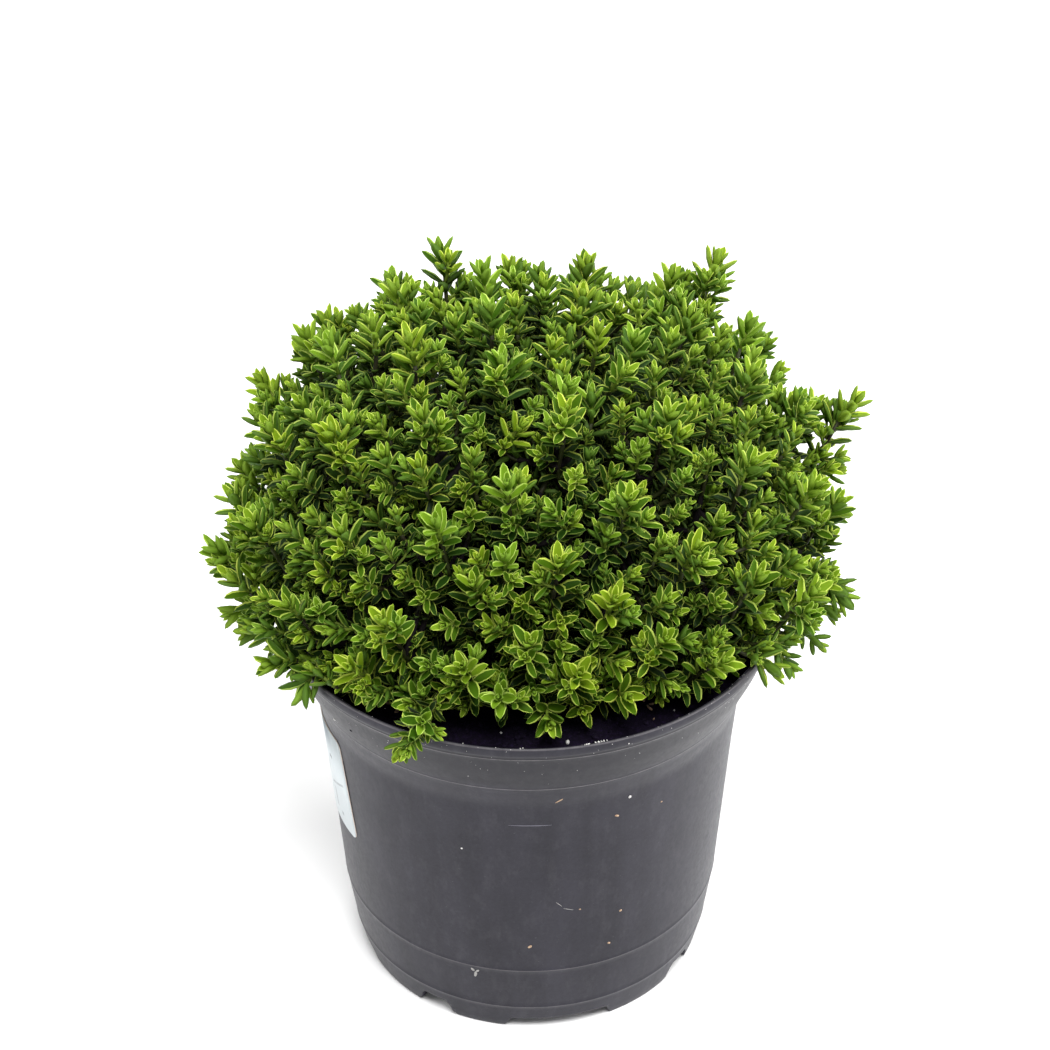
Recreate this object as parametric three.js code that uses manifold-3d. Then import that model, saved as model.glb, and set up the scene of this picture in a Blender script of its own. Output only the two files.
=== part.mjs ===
// Potted hebe: a low, dense dome of small-leaved evergreen shoots in a round grower's pot.
// Millimetres, +Z up. The origin is the centre of the pot's flat underside, and -Y is the front.

import * as THREE from 'three';
import { mergeVertices } from 'three/addons/utils/BufferGeometryUtils.js';
import Module from 'manifold-3d';

const wasm = await Module();
wasm.setup();

// Driving dimensions of the pot, its label and the soil

const CLEARANCE = 0.3; // between neighbouring solids
const POT_FACETS = 40;
const POT_HEIGHT = 100.5;
const LIP_RADIUS = 60;
const LIP_WALL = 1.6;
const POT_WALL = 1.1;
const POT_FLOOR = 1.4;
const UNDER_LIP = 97;

// The outside of the pot from the foot to the lip, as radius and height
const POT_OUTLINE = [
  [43.2, 0],
  [45.1, 8.2],
  [47.1, 22.1],
  [50.2, 64],
  [51.4, 77],
  [53.8, 84],
  [56.8, 90.5],
  [59.4, 97.5],
  [LIP_RADIUS, 98.5],
  [LIP_RADIUS, POT_HEIGHT],
];

// Recesses under the foot, four of each: azimuth of the first, width in degrees, reach and height
const DRAIN_CHANNEL = { azimuth: -122.5, width: 11.3, innerRadius: 22, height: 5 };
const FOOT_RECESS = { azimuth: -80.8, width: 33.7, innerRadius: 30, height: 3.4 };
const FOOT_REPEATS = 4;
const DRAIN_HOLE = { radius: 2.4, fromAxis: 35, facets: 12 };
const LIP_STEP = 1.5; // from the under side of the lip to its full inner width

const SOIL_HEIGHT = 90;
const SOIL_EDGE_DROP = 1.6;
const SOIL_FLAT_RADIUS = 12;

const LABEL = { azimuth: -174.8, width: 42, bottom: 43.6, top: 72.6, turn: 5, corner: 2, thickness: 0.4 };
const LABEL_CUTTER = { start: 20, depth: 60 }; // from the pot's axis, outwards

// Driving dimensions of the plant

const CROWN_CENTRE = new THREE.Vector3(0, 4, 100);
const CROWN_LEFT = 73;
const CROWN_RIGHT = 77;
const CROWN_FRONT = 53;
const FRONT_SKEW = 4; // more reach to the front left, less to the front right
const CROWN_BACK = 65;
const CROWN_HEIGHT = 78;
const CROWN_FULLNESS = 2.6; // 2 is an ellipsoid, more fills out the shoulders
const CROWN_SEED = 768;
const REACH_CHANGE = 0.03; // from shoot to shoot

const STEM_FOOT = new THREE.Vector3(0, 1, SOIL_HEIGHT + CLEARANCE);
const STEM_RADIUS = 4.6;
const STEM_FACETS = 12;
const STEM_FLARE = 2.2;
const STEM_LEVELS = [0, 0.12, 0.3, 0.55, 0.8, 1]; // shares of its rise
const STEM_HEAD_ANGLES = [25, 50, 72];
const BOUGH_START_RADIUS = 1.7;
const BOUGH_END_RADIUS = 1.25;
const BOUGH_REACH = 26; // from the crown's centre
const BOUGH_RISE = 1.4;
const LIMB_SIDES = 6;
const TWIG_SIDES = 3;

// Rings of foliage masses: how many, their elevation and the azimuth of the first, in degrees
const MASS_RINGS = [
  { name: 'low', count: 9, elevation: 10, azimuth: -90 },
  { name: 'high', count: 5, elevation: 49, azimuth: -54 },
  { name: 'top', count: 1, elevation: 88, azimuth: 90 },
];
const MASS_MARGIN = 0.35; // from the dividing planes
const CORE_DEPTH = 14.5; // below the crown's outside
const CORE_INSET = 1.2;
const CORE_START = 2.2; // beyond its bough's reach
const CORE_LOWEST = 103;
const CORE_MIDDLE_LOWEST = 109;
const CORE_DETAIL = 3;
const CORE_COARSENESS = 1.1;
const CORE_STEPS = 24; // of the search for its surface
const STEM_IN_CORE_RADIUS = 1; // of a mass's stem at its middle

const SHOOT_COUNT = 86;
const SHOOT_LOWEST = -0.05; // sine of the lowest shoot's elevation
const INSIDE_LOWEST = 98.5; // a tip's height inside the lip
const OVER_LIP_LOWEST = 104.5; // and above it
const LIP_INSIDE = 6; // how far inside the lip counts as inside
const LIP_OUTSIDE = 2;
const SHOOT_INSET = 4.5; // of a shoot's tip from its mass's dividing planes
const TWIG_RADIUS = 1.6; // where it leaves its mass's stem
const SHOOT_RADIUS = 1.1;
const PAIR_SPREADS = [26, 56]; // of the leaf pairs from the shoot's line, in degrees
const HANGING_SPREADS = [16, 36];
const PAIR_START = 0.8; // back from the twig's end
const PAIR_GAP = 4;
const SHOOT_LENGTH = 14; // from its knee, inside the core, to its end
const SHOOT_LIFT = 0.05; // of its line above the way from the crown's centre
const LOW_SHOOT = 0.25; // sine of the elevation below which it lifts more
const LOW_SHOOT_LIFT = 0.12;
const SPRIG_LIFT = 0.1;
const LEAF_BEYOND = 0.8; // share of a leaf's length beyond its twig's end
const HANG_RISE = 3; // of a hanging shoot's end above the lip
const HANG_OUT = 1; // and outside it
const HANG_REACH = 9; // of its leaves, outwards
const LEAF_LENGTH = 13.5;
const LEAF_WIDTH = 5.8;
const LEAF_THICKNESS = 1.5;
const LEAF_ROOT = 1; // how far a leaf is sunk into its twig
const LEAF_OFFSET = 0.5; // of a leaf's root from the twig's middle line
const ROLL_TRIES = 6;
const SPECK = 0.02; // detail that may go after the joining

// Sprigs that stand out of the dome, or hang over the lip: where each one's tip is
const SPRIG_TIPS = [
  [-24, 38, 175],
  [46, 37, 173],
  [79, 16, 146],
  [-76, -1, 116],
  [-64, 21, 150],
  [-68, -17, 101],
  [-52, -38, 97],
  [-26, -66, 101],
  [60, -24, 104],
  [70, -8, 104],
];

// Seeded random numbers from 0 to 1
function seededRandom(seed) {
  let state = seed;
  return () => {
    state = (state + 0x6d2b79f5) | 0;
    let mixed = Math.imul(state ^ (state >>> 15), 1 | state);
    mixed = (mixed + Math.imul(mixed ^ (mixed >>> 7), 61 | mixed)) ^ mixed;
    return ((mixed ^ (mixed >>> 14)) >>> 0) / 4294967296;
  };
}

// A closed geometry as a solid that can be joined and cut
function solidOf(geometry) {
  geometry.deleteAttribute('normal');
  geometry.deleteAttribute('uv');
  const merged = mergeVertices(geometry, 1e-4);
  const corners = merged.index.array;
  const faces = [];
  for (let i = 0; i < corners.length; i += 3) {
    const [a, b, c] = [corners[i], corners[i + 1], corners[i + 2]];
    if (a !== b && b !== c && c !== a) faces.push(a, b, c);
  }
  return new wasm.Manifold(new wasm.Mesh({
    numProp: 3,
    vertProperties: new Float32Array(merged.attributes.position.array),
    triVerts: new Uint32Array(faces),
  }));
}

// The largest body of a solid: loose scraps go, and a hollow sealed by the joining is filled
function mainBody(solid) {
  const bodies = solid.decompose();
  return bodies.reduce((best, body) => (body.volume() > best.volume() ? body : best));
}

function meshOf(name, solid, material) {
  const { vertProperties, triVerts } = solid.getMesh();
  const geometry = new THREE.BufferGeometry();
  geometry.setAttribute('position', new THREE.BufferAttribute(vertProperties, 3));
  geometry.setIndex(new THREE.BufferAttribute(triVerts, 1));
  geometry.computeVertexNormals();
  const mesh = new THREE.Mesh(geometry, material);
  mesh.name = name;
  return mesh;
}

// A profile of radius and height turned about the vertical axis
function turned(profile) {
  const points = profile.map(([radius, height]) => new THREE.Vector2(radius, height));
  return solidOf(new THREE.LatheGeometry(points, POT_FACETS).rotateX(Math.PI / 2));
}

// The radius of the pot's outside at a height
function potRadius(height) {
  const level = Math.min(height, POT_HEIGHT);
  const upper = Math.max(1, POT_OUTLINE.findIndex((point) => point[1] >= level));
  const [[lowRadius, low], [highRadius, high]] = POT_OUTLINE.slice(upper - 1, upper + 1);
  return THREE.MathUtils.mapLinear(level, low, high, lowRadius, highRadius);
}

// One recess under the foot, made larger all round by a growth
function recess(size, index, growth) {
  const middle = THREE.MathUtils.degToRad(size.azimuth + (index * 360) / FOOT_REPEATS);
  const half = THREE.MathUtils.degToRad(size.width / 2) + growth / POT_OUTLINE[0][0];
  const outer = LIP_RADIUS;
  const shape = new THREE.Shape();
  shape.absarc(0, 0, outer, middle - half, middle + half, false);
  shape.absarc(0, 0, size.innerRadius - growth, middle + half, middle - half, true);
  const depth = size.height + growth + 1;
  const geometry = new THREE.ExtrudeGeometry(shape, { depth, bevelEnabled: false, curveSegments: 3 });
  return solidOf(geometry.translate(0, 0, -1));
}

function allRecesses(growth) {
  const pieces = [];
  for (let i = 0; i < FOOT_REPEATS; i += 1) {
    pieces.push(recess(DRAIN_CHANNEL, i, growth), recess(FOOT_RECESS, i, growth));
  }
  return wasm.Manifold.union(pieces);
}

function drainHole(index) {
  const angle = THREE.MathUtils.degToRad(DRAIN_CHANNEL.azimuth + (index * 360) / FOOT_REPEATS);
  const { radius, fromAxis, facets } = DRAIN_HOLE;
  const height = 4 * POT_FLOOR;
  const geometry = new THREE.CylinderGeometry(radius, radius, height, facets).rotateX(Math.PI / 2);
  geometry.translate(fromAxis * Math.cos(angle), fromAxis * Math.sin(angle), DRAIN_CHANNEL.height);
  return solidOf(geometry);
}

// The inside of the pot from a floor to a height, drawn in from the wall by an inset
function potInside(floor, inset, top) {
  const wall = POT_WALL + inset;
  const profile = [[0, floor], [potRadius(floor) - wall, floor]];
  for (const [radius, height] of POT_OUTLINE) {
    if (height > floor && height < Math.min(top, UNDER_LIP)) profile.push([radius - wall, height]);
  }
  const lip = LIP_RADIUS - LIP_WALL;
  if (top > POT_HEIGHT) profile.push([lip, UNDER_LIP + LIP_STEP], [lip, top]);
  else profile.push([potRadius(top) - wall, top]);
  return profile;
}

function makePot() {
  const outside = turned([[0, 0], ...POT_OUTLINE, [0, POT_HEIGHT]]);
  const aboveLip = POT_HEIGHT + 1;
  const inside = turned([...potInside(POT_FLOOR, 0, aboveLip), [0, aboveLip]]);
  let pot = outside.subtract(inside.subtract(allRecesses(POT_FLOOR))).subtract(allRecesses(0));
  for (let i = 0; i < FOOT_REPEATS; i += 1) pot = pot.subtract(drainHole(i));
  const plastic = new THREE.MeshStandardMaterial({ color: 0x4c4b51, roughness: 0.45, metalness: 0 });
  return meshOf('pot', mainBody(pot), plastic);
}

function makeSoil() {
  const edge = SOIL_HEIGHT - SOIL_EDGE_DROP;
  const bed = DRAIN_CHANNEL.height + POT_FLOOR + CLEARANCE;
  const wall = potInside(bed, CLEARANCE, edge);
  const filling = turned([...wall, [SOIL_FLAT_RADIUS, SOIL_HEIGHT], [0, SOIL_HEIGHT]]);
  const compost = new THREE.MeshStandardMaterial({ color: 0x120c10, roughness: 0.95, metalness: 0 });
  return meshOf('soil', filling, compost);
}

// The label: a thin band round the wall, cut to a rectangle with round corners
function makeLabel() {
  const { azimuth, width, bottom, top, turn, corner, thickness } = LABEL;
  const inner = CLEARANCE;
  const outer = CLEARANCE + thickness;
  const foot = bottom - 3;
  const head = top + 3;
  const [low, high] = [potRadius(foot), potRadius(head)];
  const band = turned([
    [low + inner, foot],
    [low + outer, foot],
    [high + outer, head],
    [high + inner, head],
    [low + inner, foot],
  ]);
  const [w, h] = [width / 2, (top - bottom) / 2];
  const shape = new THREE.Shape();
  shape.absarc(w - corner, h - corner, corner, 0, Math.PI / 2);
  shape.absarc(corner - w, h - corner, corner, Math.PI / 2, Math.PI);
  shape.absarc(corner - w, corner - h, corner, Math.PI, 1.5 * Math.PI);
  shape.absarc(w - corner, corner - h, corner, 1.5 * Math.PI, 2 * Math.PI);
  const { start, depth } = LABEL_CUTTER;
  const cutter = new THREE.ExtrudeGeometry(shape, { depth, bevelEnabled: false, curveSegments: 3 });
  cutter.rotateZ(THREE.MathUtils.degToRad(turn)); // a little askew on the wall
  const angle = THREE.MathUtils.degToRad(azimuth);
  const outward = new THREE.Vector3(Math.cos(angle), Math.sin(angle), 0);
  const across = new THREE.Vector3(-Math.sin(angle), Math.cos(angle), 0);
  const frame = new THREE.Matrix4().makeBasis(across, new THREE.Vector3(0, 0, 1), outward);
  frame.setPosition(outward.clone().multiplyScalar(start).setZ((bottom + top) / 2));
  const label = band.intersect(solidOf(cutter.applyMatrix4(frame)));
  const paper = new THREE.MeshStandardMaterial({ color: 0xdce8ec, roughness: 0.5, metalness: 0 });
  return meshOf('pot_label', mainBody(label), paper);
}

// A limb along a curve, with a given number of sides, its radius given from its start to its end
function limb(curve, radiusAt, sides, segments) {
  const geometry = new THREE.CylinderGeometry(1, 1, 1, sides, segments);
  const positions = geometry.attributes.position;
  const chord = curve.getPoint(1).sub(curve.getPoint(0)).normalize();
  const side = Math.abs(chord.z) < 0.8 ? new THREE.Vector3(0, 0, 1) : new THREE.Vector3(0, 1, 0);
  const point = new THREE.Vector3();
  for (let i = 0; i < positions.count; i += 1) {
    const along = positions.getY(i) + 0.5;
    const tangent = curve.getTangent(along);
    const across = new THREE.Vector3().crossVectors(tangent, side).normalize();
    const third = new THREE.Vector3().crossVectors(across, tangent);
    const radius = radiusAt(along);
    point.copy(curve.getPoint(along));
    point.addScaledVector(across, positions.getX(i) * radius);
    point.addScaledVector(third, positions.getZ(i) * radius);
    positions.setXYZ(i, point.x, point.y, point.z);
  }
  return solidOf(geometry);
}

function taper(start, end) {
  return (along) => start + (end - start) * along;
}

// How far the crown reaches from its centre in a direction
function crownReach(direction) {
  const front = CROWN_FRONT - FRONT_SKEW * direction.x;
  const x = Math.abs(direction.x) / (direction.x < 0 ? CROWN_LEFT : CROWN_RIGHT);
  const y = Math.abs(direction.y) / (direction.y < 0 ? front : CROWN_BACK);
  const z = Math.abs(direction.z) / CROWN_HEIGHT;
  return (x ** CROWN_FULLNESS + y ** CROWN_FULLNESS + z ** CROWN_FULLNESS) ** (-1 / CROWN_FULLNESS);
}

function directionAt(azimuth, elevation) {
  const a = THREE.MathUtils.degToRad(azimuth);
  const e = THREE.MathUtils.degToRad(elevation);
  return new THREE.Vector3(Math.cos(a) * Math.cos(e), Math.sin(a) * Math.cos(e), Math.sin(e));
}

function fromCentre(direction, distance) {
  return CROWN_CENTRE.clone().addScaledVector(direction, distance);
}

// The masses: each one owns the directions nearest to its own, so planes divide them
function makeMassList() {
  const masses = [];
  for (const ring of MASS_RINGS) {
    for (let i = 0; i < ring.count; i += 1) {
      const suffix = ring.count > 1 ? `${ring.name}_${i + 1}` : ring.name;
      const direction = directionAt(ring.azimuth + (i * 360) / ring.count, ring.elevation);
      masses.push({ suffix, direction, shoots: [] });
    }
  }
  for (const mass of masses) {
    mass.planes = masses
      .filter((other) => other !== mass)
      .map((other) => mass.direction.clone().sub(other.direction).normalize());
  }
  return masses;
}

// How far a point lies inside a mass's dividing planes
function depthInMass(mass, point) {
  const offset = point.clone().sub(CROWN_CENTRE);
  return Math.min(...mass.planes.map((plane) => plane.dot(offset)));
}

// Whether a point of the plant is clear of the pot and the soil by a margin
function clearOfPot(point, margin) {
  const radius = Math.hypot(point.x, point.y);
  if (point.z > POT_HEIGHT + margin || radius > LIP_RADIUS + margin) return true;
  const inner = potRadius(point.z) - LIP_WALL - margin;
  return point.z > SOIL_HEIGHT + margin && radius < inner;
}

// The smaller body inside a mass, which its leaves stand out of
function makeCore(mass) {
  const near = BOUGH_REACH + CORE_START;
  const far = crownReach(mass.direction) - CORE_DEPTH;
  const middle = fromCentre(mass.direction, (near + far) / 2);
  middle.z = Math.max(middle.z, CORE_MIDDLE_LOWEST);
  const holds = (point) => {
    const offset = point.clone().sub(CROWN_CENTRE);
    const distance = offset.length();
    return point.z > CORE_LOWEST
      && offset.dot(mass.direction) > near
      && depthInMass(mass, point) > CORE_INSET
      && distance < crownReach(offset.divideScalar(distance)) - CORE_DEPTH;
  };
  const geometry = new THREE.IcosahedronGeometry(1, CORE_DETAIL);
  geometry.deleteAttribute('normal');
  geometry.deleteAttribute('uv');
  const ball = mergeVertices(geometry, 1e-4);
  const positions = ball.attributes.position;
  for (let i = 0; i < positions.count; i += 1) {
    const direction = new THREE.Vector3().fromBufferAttribute(positions, i).normalize();
    let [low, high] = [0, CROWN_HEIGHT];
    for (let step = 0; step < CORE_STEPS; step += 1) {
      const trial = (low + high) / 2;
      if (holds(middle.clone().addScaledVector(direction, trial))) low = trial;
      else high = trial;
    }
    const point = middle.clone().addScaledVector(direction, low);
    positions.setXYZ(i, point.x, point.y, point.z);
  }
  return { solid: solidOf(ball).simplify(CORE_COARSENESS), middle };
}

// A leaf of eight faces, widest at its middle, its root sunk in its twig, of a length outside it
function makeLeaf(root, along, normal, length) {
  const across = new THREE.Vector3().crossVectors(along, normal).normalize();
  const face = new THREE.Vector3().crossVectors(across, along);
  const half = (length + LEAF_ROOT) / 2;
  const middle = root.clone().addScaledVector(along, half - LEAF_ROOT);
  const frame = new THREE.Matrix4().makeBasis(across, along, face).setPosition(middle);
  const geometry = new THREE.OctahedronGeometry(1, 0).scale(LEAF_WIDTH / 2, half, LEAF_THICKNESS / 2);
  return geometry.applyMatrix4(frame);
}

function leafFits(mass, geometry) {
  const positions = geometry.attributes.position;
  const corners = [];
  for (let i = 0; i < positions.count; i += 1) {
    corners.push(new THREE.Vector3().fromBufferAttribute(positions, i));
  }
  if (corners.some((corner) => depthInMass(mass, corner) < MASS_MARGIN)) return false;
  return corners.every((corner) => corners.every((other) => [0, 0.25, 0.5].every(
    (share) => clearOfPot(corner.clone().lerp(other, share), 2 * CLEARANCE),
  )));
}

// A shoot's leaves: a nearly upright pair at its end, and a wider pair below, turned a quarter
function shootLeaves(mass, shoot, roll) {
  const { end, knee, axis, spreads, length } = shoot;
  const back = knee.clone().sub(end).normalize();
  const seed = Math.abs(axis.z) < 0.9 ? new THREE.Vector3(0, 0, 1) : new THREE.Vector3(1, 0, 0);
  const sideways = new THREE.Vector3().crossVectors(axis, seed).normalize();
  const leaves = [];
  for (let pair = 0; pair < spreads.length; pair += 1) {
    const spread = THREE.MathUtils.degToRad(spreads[pair]);
    const root = end.clone().addScaledVector(back, PAIR_START + PAIR_GAP * pair);
    for (const half of [0, Math.PI]) {
      const turn = roll + half + (pair * Math.PI) / 2;
      const outward = sideways.clone().applyAxisAngle(axis, turn);
      const along = axis.clone().multiplyScalar(Math.cos(spread));
      along.addScaledVector(outward, Math.sin(spread));
      const normal = axis.clone().multiplyScalar(Math.sin(spread));
      normal.addScaledVector(outward, -Math.cos(spread));
      const foot = root.clone().addScaledVector(outward, LEAF_OFFSET);
      leaves.push(makeLeaf(foot, along, normal, length));
    }
  }
  return leaves.filter((leaf) => leafFits(mass, leaf));
}

function bestLeaves(mass, shoot) {
  let best = [];
  for (let i = 0; i < ROLL_TRIES; i += 1) {
    const leaves = shootLeaves(mass, shoot, shoot.roll + (i * Math.PI) / (2 * ROLL_TRIES));
    if (leaves.length > best.length) best = leaves;
  }
  return best;
}

// A shoot from its knee to its end, and the way its leaves point: a low one droops over the lip
function shootPath(tip, lift) {
  const outward = new THREE.Vector3(tip.x, tip.y, 0);
  const radius = outward.length();
  outward.divideScalar(radius);
  if (tip.z < POT_HEIGHT + HANG_RISE && radius > LIP_RADIUS) {
    const end = outward.clone().multiplyScalar(Math.max(radius - HANG_REACH, LIP_RADIUS + HANG_OUT));
    end.z = POT_HEIGHT + HANG_RISE;
    const knee = end.clone().addScaledVector(outward, -SHOOT_LENGTH);
    knee.z += 1;
    const axis = tip.clone().sub(end);
    const length = Math.min(LEAF_LENGTH, axis.length() + LEAF_ROOT);
    return { end, knee, axis: axis.normalize(), length, spreads: HANGING_SPREADS };
  }
  const axis = tip.clone().sub(CROWN_CENTRE).normalize();
  axis.z += lift;
  axis.normalize();
  const end = tip.clone().addScaledVector(axis, -LEAF_LENGTH * LEAF_BEYOND);
  const knee = end.clone().addScaledVector(axis, -SHOOT_LENGTH);
  return { end, knee, axis, length: LEAF_LENGTH, spreads: PAIR_SPREADS };
}

// Gives a tip to the mass that owns it, drawn in from the dividing planes
function addShoot(masses, tip, roll, lift) {
  const offset = tip.clone().sub(CROWN_CENTRE).normalize();
  const nearness = (mass) => mass.direction.dot(offset);
  const mass = masses.reduce((best, other) => (nearness(other) > nearness(best) ? other : best));
  const point = tip.clone();
  for (const plane of mass.planes) {
    const depth = plane.dot(point.clone().sub(CROWN_CENTRE));
    if (depth < SHOOT_INSET) point.addScaledVector(plane, SHOOT_INSET - depth);
  }
  const shoot = { ...shootPath(point, lift), roll };
  const margin = TWIG_RADIUS + CLEARANCE;
  const touchesPot = () => [0, 0.2, 0.4, 0.6, 0.8, 1].some(
    (share) => !clearOfPot(shoot.knee.clone().lerp(shoot.end, share), margin),
  );
  while (touchesPot()) {
    shoot.knee.z += 1;
    shoot.end.z += 1;
  }
  mass.shoots.push(shoot);
}

// Shoot tips spread evenly over the dome by the golden angle, and the sprigs that stand out
function plantShoots(masses) {
  const random = seededRandom(CROWN_SEED);
  const golden = Math.PI * (3 - Math.sqrt(5));
  for (let i = 0; i < SHOOT_COUNT; i += 1) {
    const height = SHOOT_LOWEST + ((1 - SHOOT_LOWEST) * (i + 0.5)) / SHOOT_COUNT;
    const across = Math.sqrt(1 - height * height);
    const angle = i * golden;
    const direction = new THREE.Vector3(across * Math.cos(angle), across * Math.sin(angle), height);
    const reach = crownReach(direction) * (1 + REACH_CHANGE * (random() - 0.5));
    const tip = fromCentre(direction, reach);
    const radius = Math.hypot(tip.x, tip.y);
    if (radius < LIP_RADIUS - LIP_INSIDE) tip.z = Math.max(tip.z, INSIDE_LOWEST);
    else if (radius < LIP_RADIUS + LIP_OUTSIDE) tip.z = Math.max(tip.z, OVER_LIP_LOWEST);
    addShoot(masses, tip, random() * Math.PI, height < LOW_SHOOT ? LOW_SHOOT_LIFT : SHOOT_LIFT);
  }
  for (const tip of SPRIG_TIPS) {
    addShoot(masses, new THREE.Vector3(...tip), random() * Math.PI, SPRIG_LIFT);
  }
}

function makeFoliage(mass, leafGreen) {
  const { solid, middle } = makeCore(mass);
  const stemStart = fromCentre(mass.direction, BOUGH_REACH + CLEARANCE);
  stemStart.z += BOUGH_RISE;
  const stemPath = new THREE.LineCurve3(stemStart, middle);
  const stem = limb(stemPath, taper(BOUGH_END_RADIUS, STEM_IN_CORE_RADIUS), LIMB_SIDES, 1);
  const pieces = [solid, stem];
  for (const shoot of mass.shoots) {
    const path = new THREE.CatmullRomCurve3([middle, shoot.knee, shoot.end]);
    pieces.push(limb(path, taper(TWIG_RADIUS, SHOOT_RADIUS), TWIG_SIDES, 2));
    for (const leaf of bestLeaves(mass, shoot)) pieces.push(solidOf(leaf));
  }
  const fused = wasm.Manifold.union(pieces);
  return meshOf(`foliage_${mass.suffix}`, mainBody(fused).simplify(SPECK), leafGreen);
}

function makeStem(bark) {
  const rise = CROWN_CENTRE.z - STEM_FOOT.z;
  const profile = [new THREE.Vector2(0, 0)];
  for (const share of STEM_LEVELS) {
    profile.push(new THREE.Vector2(STEM_RADIUS + STEM_FLARE * (1 - share) ** 3, rise * share));
  }
  for (const turn of STEM_HEAD_ANGLES) {
    const angle = THREE.MathUtils.degToRad(turn);
    profile.push(new THREE.Vector2(STEM_RADIUS * Math.cos(angle), rise + STEM_RADIUS * Math.sin(angle)));
  }
  profile.push(new THREE.Vector2(0, rise + STEM_RADIUS));
  const geometry = new THREE.LatheGeometry(profile, STEM_FACETS).rotateX(Math.PI / 2);
  const positions = geometry.attributes.position;
  const middle = new THREE.Vector3();
  for (let i = 0; i < positions.count; i += 1) {
    const height = positions.getZ(i);
    middle.lerpVectors(STEM_FOOT, CROWN_CENTRE, Math.min(height / rise, 1));
    positions.setXYZ(i, positions.getX(i) + middle.x, positions.getY(i) + middle.y, height + STEM_FOOT.z);
  }
  return meshOf('stem', solidOf(geometry), bark);
}

function makeBough(mass, bark) {
  const start = fromCentre(mass.direction, STEM_RADIUS + CLEARANCE);
  const end = fromCentre(mass.direction, BOUGH_REACH);
  const bend = fromCentre(mass.direction, BOUGH_REACH / 2);
  end.z += BOUGH_RISE;
  const path = new THREE.QuadraticBezierCurve3(start, bend, end);
  const solid = limb(path, taper(BOUGH_START_RADIUS, BOUGH_END_RADIUS), LIMB_SIDES, 3);
  return meshOf(`bough_${mass.suffix}`, solid, bark);
}

const plant = new THREE.Group();
plant.add(makePot(), makeSoil(), makeLabel());

const barkBrown = { color: 0x6a5238, roughness: 0.9, metalness: 0 };
const leafGreen = { color: 0x4f6f1f, roughness: 0.5, metalness: 0 };
plant.add(makeStem(new THREE.MeshStandardMaterial(barkBrown)));
const masses = makeMassList();
plantShoots(masses);
for (const mass of masses) {
  plant.add(makeBough(mass, new THREE.MeshStandardMaterial(barkBrown)));
  plant.add(makeFoliage(mass, new THREE.MeshStandardMaterial(leafGreen)));
}

export default plant;
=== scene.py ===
"""Potted hebe: a dense dome of small opposite leaves, growing in a round grower's pot of compost.

Sizes and places are in millimetres unless a name or a comment says otherwise, and a finished piece's
mesh is brought to metres. The pot stands on its underside at the origin, and its front is at -Y.
"""

import math

import bmesh
import bpy
import numpy as np
from mathutils import Matrix, Vector, noise


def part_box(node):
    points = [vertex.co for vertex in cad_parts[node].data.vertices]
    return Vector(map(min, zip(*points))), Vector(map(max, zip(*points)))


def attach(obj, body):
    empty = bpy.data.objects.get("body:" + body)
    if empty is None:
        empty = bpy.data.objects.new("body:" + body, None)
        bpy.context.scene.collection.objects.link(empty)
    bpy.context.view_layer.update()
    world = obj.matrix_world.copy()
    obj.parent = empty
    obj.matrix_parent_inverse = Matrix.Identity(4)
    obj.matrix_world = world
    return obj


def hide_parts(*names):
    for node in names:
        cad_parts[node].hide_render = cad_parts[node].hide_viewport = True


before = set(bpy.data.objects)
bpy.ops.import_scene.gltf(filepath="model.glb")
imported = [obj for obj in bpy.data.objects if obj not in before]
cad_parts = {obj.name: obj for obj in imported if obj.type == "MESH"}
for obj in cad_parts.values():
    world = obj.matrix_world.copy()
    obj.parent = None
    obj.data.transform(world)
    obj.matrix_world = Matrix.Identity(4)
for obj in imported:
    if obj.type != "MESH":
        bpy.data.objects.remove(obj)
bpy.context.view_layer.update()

bl_info = {
    "name": "Potted Hebe",
    "version": (1, 0, 0),
    "blender": (4, 5, 0),
    "location": "View3D > Sidebar > Hebe",
    "description": "Builds a small-leaved hebe in its grower's pot around the packed frame",
    "category": "Object",
}

MM = 0.001
EVENLY = (1, 1, 1)

# The pot, from the frame and from its own proportions
POT_LOW, POT_HIGH = (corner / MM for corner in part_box("pot"))
POT_HEIGHT = POT_HIGH.z
LIP_RADIUS = -POT_LOW.y
LIP_WALL = 1.6
LIP_INNER_START = 98.5
POT_WALL = 1.1
POT_FLOOR = 1.4
POT_STEPS = 288
FOOT_RADIUS = 43.2
POT_OUTLINE = (
    (FOOT_RADIUS, 0),
    (45.1, 8.2),
    (47.1, 22.1),
    (50.2, 64),
    (51.4, 77),
    (53.8, 84),
    (56.8, 90.5),
    (59.4, 97.5),
    (LIP_RADIUS, 98.5),
    (LIP_RADIUS, POT_HEIGHT),
)
RIB_HEIGHTS = (8.2, 22.1, 84.0, 96.9)
RIB_WIDTH = 0.5
RIB_PROUD = 0.06
WALL_STEP = 1.5
FOOT_ROUNDING = 0.6
LIP_FOOT = ((0.25, 98.1), (0, 98.6), (0, 99.4))
LIP_ROUNDING = 0.3
LIP_TOP_FALL = 0.7
LIP_BARE_DEPTH = 1.2
UNDERSIDE_RADII = (0, 8, 16, 21.6, 22.2, 26, 29.6, 30.2, 34, 38, 41, 42.4)
FLOOR_RADII = (38, 34, 30.2, 29.6, 26, 22.2, 21.6, 12, 0)
LOW_WALL_HEIGHTS = (7, 5, 3, 2)

# Recesses under the foot, four of each, angles in degrees
DRAIN_CHANNEL = {"azimuth": -122.5, "width": 11.3, "inner_radius": 22, "height": 5}
FOOT_RECESS = {"azimuth": -80.8, "width": 33.7, "inner_radius": 30, "height": 3.4}
FOOT_REPEATS = 4
RECESS_RAMP = 2.2

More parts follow.
